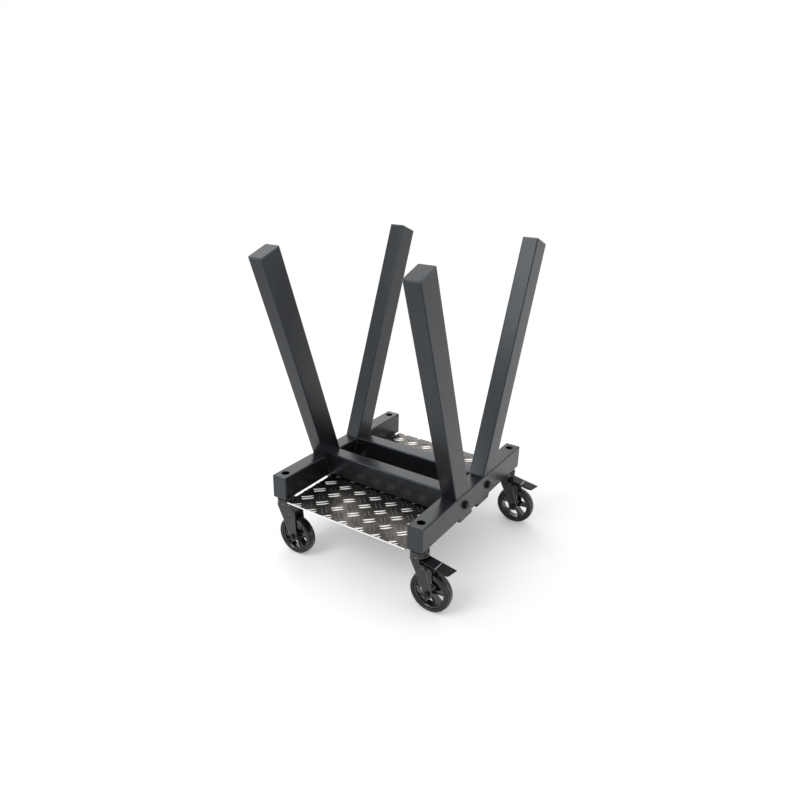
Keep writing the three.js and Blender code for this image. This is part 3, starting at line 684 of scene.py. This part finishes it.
def makeCrossBolts():
    # the washer sits at height 0 with the head above it and the shank below
    b = crossBolt
    thick, top = b["washerThick"], b["washerThick"] + b["headHigh"]
    length = boxSize("cross_bolt_front_right").x - top
    wide, shank, edge = b["washer"] - b["edgeWide"], b["shank"] - b["threadGap"], b["edge"]
    profile = [(0, -length), (b["shank"] - b["tipCut"], -length), (shank, b["tipHigh"] - length),
               (shank, 0), (wide, 0), (b["washer"], edge), (b["washer"], thick - edge), (wide, thick),
               (b["head"] - b["headEdge"], thick), (b["head"], thick + edge)]
    crownWide, crownHigh = b["head"] * b["crownWide"], b["headHigh"] * b["crownHigh"]
    profile += arc(b["head"] - crownWide, top - crownHigh, crownWide, crownHigh, 0, 90, 8) + [(0, top)]
    bolt = socketScrew("bolt", profile, 48, standing(Vector()), b["key"] / math.sqrt(3), b["keyDeep"])
    spots, nodes = [], []
    for name, sideX, sideY in corners:
        low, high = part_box("cross_bolt_" + name)
        seat = (high if sideX > 0 else low).x - sideX * top * mm
        spots.append((Vector((seat, sideY * tube["boltSpacing"] / 2 * mm, boltHeight)),
                      (0, sideX * math.pi / 2, 0)))
        nodes.append("cross_bolt_" + name)
    bolts = placeFasteners("crossBolts", bolt, spots, blackBolt)
    settle(bolts, blackBolt, "frame", "black_bolt", *nodes)


def makePlateScrews():
    # button heads under the tread plate, pointing down
    s = plateScrew
    high, shank, crown = s["headHigh"], s["shank"] - s["threadGap"], s["crownFrom"]
    profile = [(0, -s["under"]), (shank, -s["under"]), (shank, 0), (s["head"] - s["edge"], 0),
               (s["head"], s["edgeHigh"])]
    profile += arc(s["head"] / 2, crown, s["head"] / 2, high - crown, 0, 90, 6) + [(0, high)]
    screw = socketScrew("screw", profile, 32, standing(Vector()), s["keyRadius"], s["keyDeep"])
    nodes = ["plate_screw_" + name for name, _, _ in corners]
    spots = []
    for nodeName in nodes:
        centre = boxCentre(nodeName)
        spots.append((Vector((centre.x, centre.y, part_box(nodeName)[0].z + high * mm)), (math.pi, 0, 0)))
    screws = placeFasteners("plateScrews", screw, spots, dullZinc)
    settle(screws, dullZinc, "frame", "plated_steel", *nodes)


makeCrossBolts()
makePlateScrews()
print("frame fasteners made")


# tread plate

tread = dict(thick=3.5, edge=0.25, corner=1.5, barLong=32, barWide=6.4, barHigh=1.5, barSteps=8,
             plump=0.62, pairGap=10, pitch=46.3, phaseX=-4.1, phaseY=-21.2, columns=11, rows=15,
             trim=0.3)
barLayers = [(1.0, 1.0, -0.15), (1.0, 1.0, 0.0), (0.95, 0.86, 0.55), (0.86, 0.62, 0.88),
             (0.7, 0.28, 1.0)]   # share of the length, the width and the height


def makeBar():
    # one raised bar: pointed lens in plan, rounded over the top, base a hair inside the sheet
    half, wide, high = tread["barLong"] / 2, tread["barWide"] / 2, tread["barHigh"]
    steps = [-1 + 2 * i / tread["barSteps"] for i in range(tread["barSteps"] + 1)]
    around = [(t * half, -wide * (1 - t * t) ** tread["plump"]) for t in steps]
    around += [(x, -y) for x, y in around[-2:0:-1]]
    bm = bmesh.new()
    loft(bm, [[Vector((x * long, y * broad, z * high)) * mm for x, y in around]
              for long, broad, z in barLayers])
    bar = looseObject("bar", bm)
    bar.data.shade_smooth()
    return bar


def buildTreadTree():
    # two square grids of bar pairs, half a pitch apart, leaning opposite ways
    tree, given = newGeometryTree("treadPattern", {"Bar": "Object", "Pitch": "Float", "Pair Gap": "Float",
                                                   "Columns": "Int", "Rows": "Int", "Offset": "Vector"})
    bar = addNode(tree, "GeometryNodeObjectInfo", {"Object": given["Bar"]})
    halfGap = mathNode(tree, "MULTIPLY", given["Pair Gap"], 0.5)
    nearSide = addNode(tree, "ShaderNodeCombineXYZ", {"Y": mathNode(tree, "MULTIPLY", halfGap, -1.0)})
    step = addNode(tree, "ShaderNodeCombineXYZ", {"Y": given["Pair Gap"]})
    line = addNode(tree, "GeometryNodeMeshLine", {"Count": 2, "Start Location": nearSide.outputs[0],
                                                  "Offset": step.outputs[0]})
    pair = addNode(tree, "GeometryNodeInstanceOnPoints", {"Points": line.outputs[0],
                                                          "Instance": bar.outputs["Geometry"]})
    both = addNode(tree, "GeometryNodeJoinGeometry")
    across, along = (mathNode(tree, "MULTIPLY", given["Pitch"], mathNode(tree, "SUBTRACT", given[count], 1.0))
                     for count in ("Columns", "Rows"))
    # the first grid gets the painted bar highlight, the second none
    for share, turn, rubbed in ((0.0, math.pi / 4, 1.0), (0.5, -math.pi / 4, 0.0)):
        grid = addNode(tree, "GeometryNodeMeshGrid", {"Size X": across, "Size Y": along,
                       "Vertices X": given["Columns"], "Vertices Y": given["Rows"]})
        shift = mathNode(tree, "MULTIPLY", given["Pitch"], share)
        shiftVector = addNode(tree, "ShaderNodeCombineXYZ", {"X": shift, "Y": shift})
        total = addNode(tree, "ShaderNodeVectorMath",
                        {0: given["Offset"], 1: shiftVector.outputs[0]}, operation="ADD")
        moved = addNode(tree, "GeometryNodeSetPosition", {"Geometry": grid.outputs[0],
                                                          "Offset": total.outputs[0]})
        spread = addNode(tree, "GeometryNodeInstanceOnPoints", {
            "Points": moved.outputs[0], "Instance": pair.outputs[0], "Rotation": (0.0, 0.0, turn)})
        marked = addNode(tree, "GeometryNodeStoreNamedAttribute", {
            "Geometry": spread.outputs[0], "Name": "rubbed", "Value": rubbed},
            data_type="FLOAT", domain="INSTANCE")
        tree.links.new(marked.outputs[0], both.inputs[0])
    return endTree(tree, both.outputs[0], given["Material"])


def trimToSheet(piece, low, high):
    # bars at the edge were sheared off with the sheet
    bm = bmesh.new()
    bm.from_mesh(piece.data)
    bmesh.ops.remove_doubles(bm, verts=bm.verts, dist=1e-6)
    for point, normal in ((low, (-1, 0, 0)), (low, (0, -1, 0)), (high, (1, 0, 0)), (high, (0, 1, 0))):
        everything = bm.verts[:] + bm.edges[:] + bm.faces[:]
        cut = bmesh.ops.bisect_plane(bm, geom=everything, plane_co=point, plane_no=normal, clear_outer=True,
                                     dist=1e-7)
        rim = [e for e in cut["geom_cut"] if isinstance(e, bmesh.types.BMEdge)]
        bmesh.ops.holes_fill(bm, edges=[e for e in rim if e.is_valid and e.is_boundary])
    bmesh.ops.recalc_face_normals(bm, faces=bm.faces)
    bm.to_mesh(piece.data)
    bm.free()


def makeTreadPlate():
    low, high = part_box("tread_plate")
    level = high.z - tread["barHigh"] * mm
    material = buildTreadMaterial(level)
    middle, size, edge = boxCentre("tread_plate"), boxSize("tread_plate"), tread["edge"]
    outline = roundedLoop(size.x, size.y, tread["corner"], 4)
    layers = [(edge, -tread["thick"]), (0.0, edge - tread["thick"]), (0.0, -edge), (edge, 0.0)]
    place = standing(Vector((middle.x, middle.y, level)))
    loops = [[place(u * (1 - 2 * inset / size.x), v * (1 - 2 * inset / size.y), t) for u, v in outline]
             for inset, t in layers]
    settle(loftedPiece("treadSheet", loops, 25), material, "frame", "tread_aluminium", "tread_plate")

    bar = makeBar()
    bars = addObject("treadBars", bpy.data.meshes.new("treadBars"))
    offset = Vector((frameX + tread["phaseX"] * mm, tread["phaseY"] * mm, level))
    runTree(bars, buildTreadTree(), bar=bar, pitch=tread["pitch"] * mm, pairGap=tread["pairGap"] * mm,
            columns=tread["columns"], rows=tread["rows"], offset=offset, material=material)
    bpy.data.objects.remove(bar)
    inset = Vector((tread["trim"], tread["trim"], 0)) * mm
    trimToSheet(bars, low + inset, high - inset)
    bars.data.shade_smooth()
    bars.data.set_sharp_from_angle(angle=math.radians(60))
    settle(bars, material, "frame", "tread_aluminium", "tread_plate")


makeTreadPlate()
print("tread plate made")


# casters

caster = dict(mountHigh=15, cup=22, cupHigh=7, cupRound=2.5, collar=18, collarEdge=0.8, king=8.5,
              kingGap=0.4, kingFlange=11.5, flangeThick=3, kingBelow=2, railGap=0.2, crownThick=3.5,
              crownEdge=0.9, raceIn=13.5, raceOut=19.5, raceHigh=2.1, raceRound=0.4, raceGap=0.2,
              cupGap=0.5, cupEdge=0.6)
casterBolt = dict(radius=6, threadGap=0.05, boreGap=0.2, tip=0.5, below=1, seat=2.2, head=9, headHigh=10,
                  edge=0.8, key=10, keyDeep=6)
leg = dict(inner=14, thick=3, end=12, edge=0.7, bossLow=10.2, bossHigh=9.2, bossRise=1.0,
           bossTrail=0.45, bossAhead=5, bossUp=0.62, bossSunk=0.5, backRound=5, frontRound=3.5,
           topBack=-13.5, topFront=12, topFrontBraked=8.5, bridgeRound=1.5, bridgeInto=0.5,
           bridge=[(2.5, -34), (6, -34), (8, -20), (8, -6), (4.5, -6), (2.5, -20)],
           back=[(0.945, -17.8), (0.663, -16.1), (0.319, -12.5)],
           front=[(0.49, 24.2), (0.847, 32.9), (0.933, 28.8)],
           frontBraked=[(0.49, 24.2), (0.773, 31.5), (0.828, 2.8)])
axle = dict(radius=4, sleeve=6, head=7.5, headThick=5.5, tail=3, gap=0.2, edge=0.7, faceCut=0.97,
            cornerDrop=0.9, leastDrop=0.15)
wheel = dict(radius=50, half=12, tyreThick=11.5, rimThick=3.8, rimHalf=11, bead=1.1, beadHigh=0.9,
             hub=10, hubHalf=13.4, hubEdge=1.2, bore=6.3, spokes=5, firstSpoke=18, spokeRoot=4.6,
             spokeNeck=3.2, spokeTip=9.2, spokeHalf=5.6, spokeIn=0.75, spokeOver=1.2, ribHalf=8.2,
             ribWide=1.3)
pedal = dict(rootX=13, tipX=85, rootDrop=5, tipDrop=17.2, half=15.5, thick=2.6, tipThick=1.3, roll=1.4,
             skirt=3.4, skirtFrom=0.42, tipSlant=5, ribX=47, ribWide=3, ribHigh=1.0, grips=4, gripStart=8,
             gripStep=6, gripInset=3.5, pivotX=26, pivotDrop=19.5, pivot=2.5, pinHead=4.3,
             pinHeadThick=1.8, ear=6, earInner=10, earThick=2.5, padFront=30.5, padRear=43, padLift=0.5,
             padAbove=4)

# heights in millimetres
crownUnder = railUnder / mm - caster["mountHigh"] - caster["crownThick"]
crownTop = crownUnder + caster["crownThick"]


def makeMount(name, spot):
    # cup with its king pin, the bolt that holds it, and the race between cup and crown
    c, b = caster, casterBolt
    place = standing(Vector((spot.x, spot.y, 0)))
    cupUnder = crownTop + c["cupGap"] + c["raceHigh"]
    flangeTop = crownUnder - c["kingBelow"]
    flangeLow = flangeTop - c["flangeThick"]
    cupTop, top = cupUnder + c["cupHigh"], railUnder / mm - c["railGap"]
    bore, edge = b["radius"] + b["boreGap"], c["collarEdge"]
    profile = [(bore, flangeLow), (c["kingFlange"] - edge, flangeLow), (c["kingFlange"], flangeLow + edge),
               (c["kingFlange"], flangeTop - edge / 2), (c["kingFlange"] - edge / 2, flangeTop),
               (c["king"], flangeTop), (c["king"], cupUnder), (c["raceIn"], cupUnder),
               (c["raceOut"], cupUnder), (c["cup"] - c["cupEdge"], cupUnder),
               (c["cup"], cupUnder + c["cupEdge"])]
    profile += arc(c["cup"] - c["cupRound"], cupTop - c["cupRound"], c["cupRound"], c["cupRound"], 0, 90, 6)
    profile += [(c["collar"] + edge, cupTop), (c["collar"], cupTop + edge), (c["collar"], top - 1),
                (c["collar"] - c["cupEdge"], top), (bore, top), (bore, flangeLow)]
    mount = turnedPiece("casterCup_" + name, profile, 64, place)
    settle(mount, forkCoat, "frame", "caster_coat", "caster_mount_" + name)

    low, seat = flangeLow - b["below"], railUnder / mm + b["seat"]
    high, shank = seat + b["headHigh"], b["radius"] - b["threadGap"]
    profile = [(0, low), (b["radius"] - b["tip"], low), (shank, low + b["tip"]), (shank, seat),
               (b["head"], seat), (b["head"], high - b["edge"]), (b["head"] - b["edge"], high), (0, high)]
    bolt = socketScrew("casterScrew_" + name, profile, 48, place, b["key"] / math.sqrt(3), b["keyDeep"])
    settle(bolt, dullZinc, "frame", "plated_steel", "caster_bolt_" + name)

    raceLow = crownTop + c["raceGap"]
    raceTop, outer = raceLow + c["raceHigh"], c["raceOut"] - c["raceRound"]
    section = [(c["raceIn"], raceLow), (outer, raceLow)]
    section += arc(outer, (raceLow + raceTop) / 2, c["raceRound"], c["raceHigh"] / 2, -90, 90, 4)
    section += [(c["raceIn"], raceTop), (c["raceIn"], raceLow)]
    race = turnedPiece("swivelRing_" + name, section, 64, place)
    settle(race, dullZinc, "fork_" + name, "plated_steel", "swivel_race_" + name)


def legOutline(braked, trail):
    # side view of a leg; front and back are shares of the way up and distances from the sloping line
    rise, edgeTop = crownUnder - wheel["radius"], crownUnder + caster["crownThick"] / 2

    def corner(share, across):
        return (trail * (1 - share) + across, wheel["radius"] + share * rise)

    end = arc(trail, wheel["radius"], leg["end"], leg["end"], -160, 0, 16)
    front = [corner(*p) for p in (leg["frontBraked"] if braked else leg["front"])]
    topFront = leg["topFrontBraked"] if braked else leg["topFront"]
    sharp = [(leg["topBack"], edgeTop)] + [corner(*p) for p in leg["back"]]
    front.append((topFront, edgeTop))
    return roundCorners(sharp, leg["backRound"]) + end + roundCorners(front, leg["frontRound"])


def makeBoss(spot, trail, side):
    # pressed stiffening boss, round at the axle and narrower on top
    rise = crownUnder - wheel["radius"]
    low = Vector((trail, wheel["radius"]))
    high = Vector((trail * leg["bossTrail"] + leg["bossAhead"], wheel["radius"] + leg["bossUp"] * rise))
    outline = arc(low.x, low.y, leg["bossLow"], leg["bossLow"], 180, 360, 24)
    outline += arc(high.x, high.y, leg["bossHigh"], leg["bossHigh"], 0, 180, 24)
    middle, face = (low + high) / 2, leg["inner"] + leg["thick"]
    place = lying(Vector((spot.x, spot.y, 0)))
    lift = leg["bossRise"]
    layers = [(1.0, -leg["bossSunk"]), (1.0, 0.0), (0.97, 0.55 * lift), (0.92, lift)]
    loops = []
    for share, out in layers:
        loops.append([place(middle.x + (u - middle.x) * share, middle.y + (v - middle.y) * share,
                            side * (face + out)) for u, v in outline])
    return loftedPiece("boss", loops, 60)


def makeFork(name, spot, braked, trail):
    c = caster
    ground = Vector((spot.x, spot.y, 0))
    bore, edge = c["king"] + c["kingGap"], c["crownEdge"]
    profile = [(bore, crownUnder), (c["cup"] - edge, crownUnder), (c["cup"], crownUnder + edge),
               (c["cup"], crownTop - edge), (c["cup"] - edge, crownTop), (bore + 0.5, crownTop),
               (bore, crownTop - 0.5), (bore, crownUnder)]
    parts = [turnedPiece("crown", profile, 64, standing(ground))]
    outline = legOutline(braked, trail)
    for side in (-1, 1):
        inner, outer = side * leg["inner"], side * (leg["inner"] + leg["thick"])
        parts.append(slab("leg", outline, lying(ground), inner, outer, leg["edge"], 50))
        parts.append(makeBoss(spot, trail, side))
    if braked:
        # bridge plate between the legs that the brake pushes against
        place, half = lying(Vector((spot.x, spot.y, crownUnder * mm))), leg["inner"] + leg["bridgeInto"]
        bridge = roundCorners(leg["bridge"], leg["bridgeRound"])
        parts.append(slab("bridge", bridge, place, -half, half, 0.4, 50))
    fork = joinPieces("forkPressing_" + name, parts)
    settle(fork, forkCoat, "fork_" + name, "caster_coat", "fork_" + name)


def joinPieces(name, parts):
    # several closed shells as one mesh
    bm = bmesh.new()
    for part in parts:
        bm.from_mesh(part.data)
    bmesh.ops.recalc_face_normals(bm, faces=bm.faces)
    for part in parts:
        bpy.data.objects.remove(part)
    joined = looseObject(name, bm)
    joined.data.shade_smooth()
    joined.data.set_sharp_from_angle(angle=math.radians(32))
    return joined


def axlePlace(spot, trail):
    return lying(Vector((spot.x + trail * mm, spot.y, wheel["radius"] * mm)))


def makeNut(place, inner, face, side):
    # hexagon whose outer corners are turned off
    head, flat = axle["head"], axle["head"] * math.cos(math.pi / 6)
    hexagon = arc(0, 0, head, head, 0, 300, 5)
    ring = []
    for (pu, pv), (qu, qv) in zip(hexagon, hexagon[1:] + hexagon[:1]):
        ring += [(pu + (qu - pu) * k / 6, pv + (qv - pv) * k / 6) for k in range(6)]
    loops = [[place(u, v, inner) for u, v in ring], [], []]
    for u, v in ring:
        reach, least = math.hypot(u, v), axle["leastDrop"]
        drop = max(least, (reach - flat) * axle["cornerDrop"] + least)
        loops[1].append(place(u, v, face - side * drop))
        share = flat * axle["faceCut"] / reach
        loops[2].append(place(u * share, v * share, face))
    return loftedPiece("nut", loops, 25)


def makeAxle(name, spot, trail):
    a = axle
    place = axlePlace(spot, trail)
    outer, sleeve = leg["inner"] + leg["thick"] + leg["bossRise"], leg["inner"] - a["gap"]
    end = outer + a["headThick"] + a["tail"]
    profile = [(0, -outer - 1), (a["radius"], -outer - 1), (a["radius"], -sleeve), (a["sleeve"], -sleeve),
               (a["sleeve"], sleeve), (a["radius"], sleeve), (a["radius"], end - a["edge"]),
               (a["radius"] - a["edge"], end), (0, end)]
    parts = [turnedPiece("shaft", profile, 32, place, 30)]
    for side in (-1, 1):
        parts.append(makeNut(place, side * outer, side * (outer + a["headThick"]), side))
    whole = joinPieces("axleBolt_" + name, parts)
    settle(whole, blackBolt, "fork_" + name, "black_bolt", "axle_" + name)


def buildSpokeTree():
    # the same spoke repeated round the hub
    tree, given = newGeometryTree("spokesRoundHub", {"Spoke": "Object", "Count": "Int", "Start": "Float",
                                                     "Centre": "Vector"})
    part = addNode(tree, "GeometryNodeObjectInfo", {"Object": given["Spoke"]})
    points = addNode(tree, "GeometryNodeMeshLine", {"Count": given["Count"], "Offset": (0, 0, 0)})
    number = addNode(tree, "GeometryNodeInputIndex").outputs[0]
    share = mathNode(tree, "DIVIDE", 2 * math.pi, given["Count"])
    angle = mathNode(tree, "ADD", mathNode(tree, "MULTIPLY", number, share), given["Start"])
    turn = addNode(tree, "ShaderNodeCombineXYZ", {"Y": angle})
    spread = addNode(tree, "GeometryNodeInstanceOnPoints", {
        "Points": points.outputs[0], "Instance": part.outputs["Geometry"], "Rotation": turn.outputs[0]})
    moved = addNode(tree, "GeometryNodeTransform", {"Geometry": spread.outputs[0],
                                                    "Translation": given["Centre"]})
    return endTree(tree, moved.outputs[0], given["Material"])


spokeTree = buildSpokeTree()


def makeSpoke():
    # flared web with a raised rib along each edge, lying along +X, wheel axis along Y
    w = wheel
    inner = w["hub"] * w["spokeIn"]
    reach = w["radius"] - w["tyreThick"] - w["rimThick"] + w["spokeOver"] - inner
    root, tip = w["spokeRoot"] - w["spokeNeck"], w["spokeTip"] - w["spokeNeck"]
    steps = [i / 8 for i in range(9)]
    stations = [(inner + reach * t, w["spokeNeck"] + root * (1 - t) ** 3 + tip * t ** 2.6) for t in steps]
    web = [(x, -y) for x, y in stations] + stations[::-1]
    shapes = [(web, w["spokeHalf"], 0.6)]
    for side in (-1, 1):
        near = [(x, side * (y - w["ribWide"])) for x, y in stations]
        far = [(x, side * (y + 0.05)) for x, y in reversed(stations)]
        shapes.append((near + far, w["ribHalf"], 0.4))
    return joinPieces("spoke", [slab("spokePart", outline, lying(Vector()), -half, half, edge)
                                for outline, half, edge in shapes])


def makeWheel(name, spot, trail):
    w = wheel
    place = axlePlace(spot, trail)
    rimOut = w["radius"] - w["tyreThick"]
    rimIn, h = rimOut - w["rimThick"], w["rimHalf"]
    # one half of the rim's section, from its rounded bead to the middle, then mirrored
    half = arc(rimOut - w["bead"], h - w["beadHigh"], w["bead"], w["beadHigh"], 0, 180, 6)
    half += [(rimOut - 2 * w["bead"] - 0.3, h - 1.6), (rimIn + 0.6, h - 1.9), (rimIn + 0.2, h - 2.8),
             (rimIn + 0.1, 5), (rimIn, 0)]
    section = half + [(radius, -y) for radius, y in half[-2::-1]]
    rim = turnedPiece("rim", section + section[:1], 96, place, 40)
    side = [(w["hub"], w["ribHalf"]), (w["hub"] - 0.2, w["hubHalf"] - 1.0),
            (w["hub"] - w["hubEdge"], w["hubHalf"]), (w["bore"], w["hubHalf"])]
    section = [(radius, -y) for radius, y in side[::-1]] + side
    hub = turnedPiece("hub", section + section[:1], 48, place, 40)
    spoke = makeSpoke()
    spokes = addObject("spokes", bpy.data.meshes.new("spokes"))
    runTree(spokes, spokeTree, spoke=spoke, count=w["spokes"], start=-math.radians(w["firstSpoke"]),
            centre=place(0, 0, 0), material=rimGloss)
    bpy.data.objects.remove(spoke)
    whole = joinPieces("wheelCentre_" + name, [rim, hub, spokes])
    settle(whole, rimGloss, "wheel_" + name, "rim", "wheel_rim_" + name)

    # one half of the tyre's section from its side to the middle, then mirrored
    r, half = w["radius"], w["half"]
    section = [(rimOut + 0.3, half - 0.8), (rimOut + 1.1, half), (r - 6.2, half), (r - 5.7, half - 0.5),
               (r - 5.2, half), (r - 4.2, half)]
    section += arc(r - 4.2, half - 2.9, 2.7, 2.9, 90, 0, 5)
    section += [(r - 1.5, 7.2), (r - 2.3, 6.9), (r - 2.3, 6.1), (r - 0.9, 5.6), (r - 0.35, 4.2), (r, 2.0)]
    section = [(radius, -y) for radius, y in section] + section[::-1]
    tyre = turnedPiece("tyreRing_" + name, section + section[:1], 96, place, 45)
    settle(tyre, tyreRubber, "wheel_" + name, "tread_tyre", "tyre_" + name)


def makePedal(name, spot):
    p = pedal
    rootZ, tipZ = crownUnder - p["rootDrop"], crownUnder - p["tipDrop"]
    pivotZ = crownUnder - p["pivotDrop"]
    world = lying(Vector((spot.x, spot.y, 0)))

    def topAt(x):
        return rootZ + (x - p["rootX"]) * (tipZ - rootZ) / (p["tipX"] - p["rootX"])

    def onTop(u, v, t):
        return world(u, topAt(u) + v, t)

    # blade: flat top with rolled-over sides, a skirt under its outer half and a thin, slanting tip
    loops = []
    for i in range(25):
        t = i / 24
        bulge = (t - p["skirtFrom"]) / (1 - p["skirtFrom"])
        skirt = p["skirt"] * max(0.0, math.sin(math.pi * bulge)) if bulge > 0 else 0
        thick = p["thick"] - (p["thick"] - p["tipThick"]) * t ** 3
        half, roll, under = p["half"] - 0.05, min(p["roll"], thick / 2), -thick - skirt
        side = [(half - roll, 0.0), (half - 0.3 * roll, -0.3 * roll), (half, -roll), (half, under),
                (half - 2.0, under), (half - 2.3, -thick)]
        x = p["rootX"] + (p["tipX"] - p["rootX"]) * t
        slant = p["tipSlant"] * t ** 6
        loops.append([onTop(x + slant * (u / half - 1) / 2, v, u)
                      for u, v in [(-u, v) for u, v in reversed(side)] + side])
    parts = [loftedPiece("blade", loops, 35)]
    # grip ridges across the outer half
    for k in range(p["grips"]):
        start = p["ribX"] + p["gripStart"] + k * p["gripStep"]
        ridge = [(start, -0.8), (start + 1.8, -0.8), (start + 1.5, 0.3), (start + 0.3, 0.3)]
        across = p["half"] - p["gripInset"]
        parts.append(slab("grip", ridge, onTop, -across, across, 0.2))
    # ears that hang from the blade and hold the pin
    earRear = p["padRear"] + p["ear"]
    below = [(x, topAt(x) - p["thick"] / 2) for x in (p["pivotX"] - 1.5 * p["ear"], earRear)]
    eye = arc(p["pivotX"], pivotZ, p["ear"], p["ear"], 150, 300, 12)
    ear = below[:1] + eye + [(earRear - p["ear"] / 2, pivotZ - p["ear"])] + below[1:]
    for side in (-1, 1):
        inner, outer = side * p["earInner"], side * (p["earInner"] + p["earThick"])
        parts.append(slab("ear", ear, world, inner, outer, 0.4, 50))
    whole = joinPieces("brakeBlade_" + name, parts)
    settle(whole, pedalCoat, "pedal_" + name, "pedal_coat", "brake_pedal_" + name)

    # strip across the blade, rubbed bare by shoes
    middle, across = p["ribX"] + p["ribWide"] / 2, p["half"] - 0.3
    strip = [(p["ribX"], -1.0)] + arc(middle, 0, -p["ribWide"] / 2, p["ribHigh"], 0, 180, 8)
    strip.append((p["ribX"] + p["ribWide"], -1.0))
    rib = slab("pedalStrip_" + name, strip, onTop, -across, across)
    settle(rib, bareStrip, "pedal_" + name, "pedal_coat")

    outer = leg["inner"] + leg["thick"] + 0.2
    headEnd = outer + p["pinHeadThick"]
    half = [(p["pivot"], outer), (p["pinHead"], outer), (p["pinHead"], outer + 0.3),
            (p["pinHead"] - 0.3, outer + 1.0), (p["pinHead"] - 1.4, headEnd), (0, headEnd)]
    rivet = turnedPiece("brakeRivet_" + name, [(r, -d) for r, d in reversed(half)] + half, 32,
                        lambda u, v, d: world(p["pivotX"] + u, pivotZ + v, d))
    settle(rivet, blackBolt, "fork_" + name, "black_bolt", "brake_pin_" + name)

    foot, head = 2 * wheel["radius"] + p["padLift"], pivotZ + p["padAbove"]
    block = [(p["padFront"], foot), (p["padRear"] - 3, foot), (p["padRear"], foot + 4),
             (p["padRear"], head), (p["padFront"], head)]
    half = p["earInner"] - 0.3
    shoe = slab("brakeShoe_" + name, roundCorners(block, 1.2), world, -half, half, 0.5)
    settle(shoe, padRubber, "pedal_" + name, "pad_rubber", "brake_pad_" + name)


for cornerName, sideX, sideY in corners:
    spot = jointSpots["swivel_" + cornerName]
    trail = (jointSpots["spin_" + cornerName].x - spot.x) / mm
    makeMount(cornerName, spot)
    makeFork(cornerName, spot, sideX > 0, trail)
    makeAxle(cornerName, spot, trail)
    makeWheel(cornerName, spot, trail)
    if sideX > 0:
        makePedal(cornerName, spot)
    print("caster made:", cornerName)


# studio

studio = dict(floorSize=60, floorColour=(0.88, 0.88, 0.88, 1), floorShade=(0.8668, 0.8668, 0.8668, 1),
              floorRough=0.85, floorShine=0.1, floorLift=0.19, fadeFrom=0.45, fadeTo=1.3, ambient=0.8)
lights = dict(sky=((-1.5, 1.7, 1.7), 2.2, 13), side=((2.1, 0.6, 0.35), 1.0, 5),
              front=((-0.7, -2.4, 2.5), 1.6, 34), low=((-0.9, -1.8, 0.35), 0.3, 6))   # place, size, power
white = (1, 1, 1, 1)


def seenDirectly(tree):
    # 1 for what the camera sees itself, in gloss or through glass
    rays = addNode(tree, "ShaderNodeLightPath")
    seen = mathNode(tree, "MAXIMUM", rays.outputs["Is Camera Ray"], rays.outputs["Is Glossy Ray"])
    return mathNode(tree, "MAXIMUM", seen, rays.outputs["Is Transmission Ray"])


def makeFloor():
    bm = bmesh.new()
    s = studio["floorSize"] / 2
    bm.faces.new([bm.verts.new((x, y, 0)) for x, y in ((-s, -s), (s, -s), (s, s), (-s, s))])
    floor = looseObject("studioFloor", bm)
    material, tree, shader = newMaterial("paleFloor")
    place = ownPlace(tree)
    cloud = mapRange(tree, noise(tree, place, 3.0, 4.0), 0.3, 0.7)
    colour = mixColour(tree, cloud, studio["floorColour"], studio["floorShade"])
    seen = seenDirectly(tree)
    feed(tree, shader, {"Base Color": colour, "Roughness": studio["floorRough"], "Emission Color": white,
                        "Specular IOR Level": studio["floorShine"],
                        "Emission Strength": mathNode(tree, "MULTIPLY", seen, studio["floorLift"])})
    # further out the floor turns into the white backdrop
    reach = addNode(tree, "ShaderNodeVectorMath", {0: place}, operation="LENGTH").outputs["Value"]
    far = addNode(tree, "ShaderNodeMapRange",
                  {"Value": reach, "From Min": studio["fadeFrom"], "From Max": studio["fadeTo"]},
                  interpolation_type="SMOOTHSTEP")
    backdrop = addNode(tree, "ShaderNodeEmission", {"Color": white, "Strength": 1.0})
    blend = addNode(tree, "ShaderNodeMixShader", {0: mathNode(tree, "MULTIPLY", seen, far.outputs[0]),
                                                  1: shader.outputs[0], 2: backdrop.outputs[0]})
    feed(tree, tree.nodes["Material Output"], {"Surface": blend.outputs[0]})
    floor.data.materials.append(material)


def makeWorld():
    world = bpy.data.worlds.new("studioWorld")
    bpy.context.scene.world = world
    world.use_nodes = True
    tree = world.node_tree
    tree.nodes.clear()
    strength = addNode(tree, "ShaderNodeMix", {0: seenDirectly(tree), 2: studio["ambient"], 3: 1.0})
    sky = addNode(tree, "ShaderNodeBackground", {"Color": white, "Strength": strength.outputs[0]})
    addNode(tree, "ShaderNodeOutputWorld", {"Surface": sky.outputs[0]})


def softLight(name, place, size, power, target=(0, 0, 0.3)):
    data = bpy.data.lights.new(name, "AREA")
    data.shape, data.size, data.energy = "SQUARE", size, power
    light = addObject(name, data)
    light.location = place
    light.rotation_mode = "QUATERNION"
    light.rotation_quaternion = (Vector(target) - Vector(place)).to_track_quat("-Z", "Y")
    light.visible_camera = False


photoView = dict(place=(0.7984, -1.2934, 0.9699), right=(0.82806, 0.56038, 0.01720),
                 up=(-0.21497, 0.28902, 0.93287), forward=(-0.51780, 0.77617, -0.35979),
                 lens=29.707, shiftX=0.02154, shiftY=-0.00505)


def makeCamera():
    data = bpy.data.cameras.new("photoCamera")
    data.sensor_width, data.lens = 36, photoView["lens"]
    data.shift_x, data.shift_y = photoView["shiftX"], photoView["shiftY"]
    camera = addObject("photoCamera", data)
    right, up, back = Vector(photoView["right"]), Vector(photoView["up"]), -Vector(photoView["forward"])
    place = Vector(photoView["place"]) + Vector((frameX, 0, 0))
    turn = Matrix((right, up, back)).transposed().to_4x4()
    camera.matrix_world = Matrix.Translation(place) @ turn
    bpy.context.scene.camera = camera


makeFloor()
makeWorld()
for lightName, (place, size, power) in lights.items():
    softLight(lightName + "Light", place, size, power)
makeCamera()
bpy.context.scene.view_settings.view_transform = "Standard"
print("studio ready")
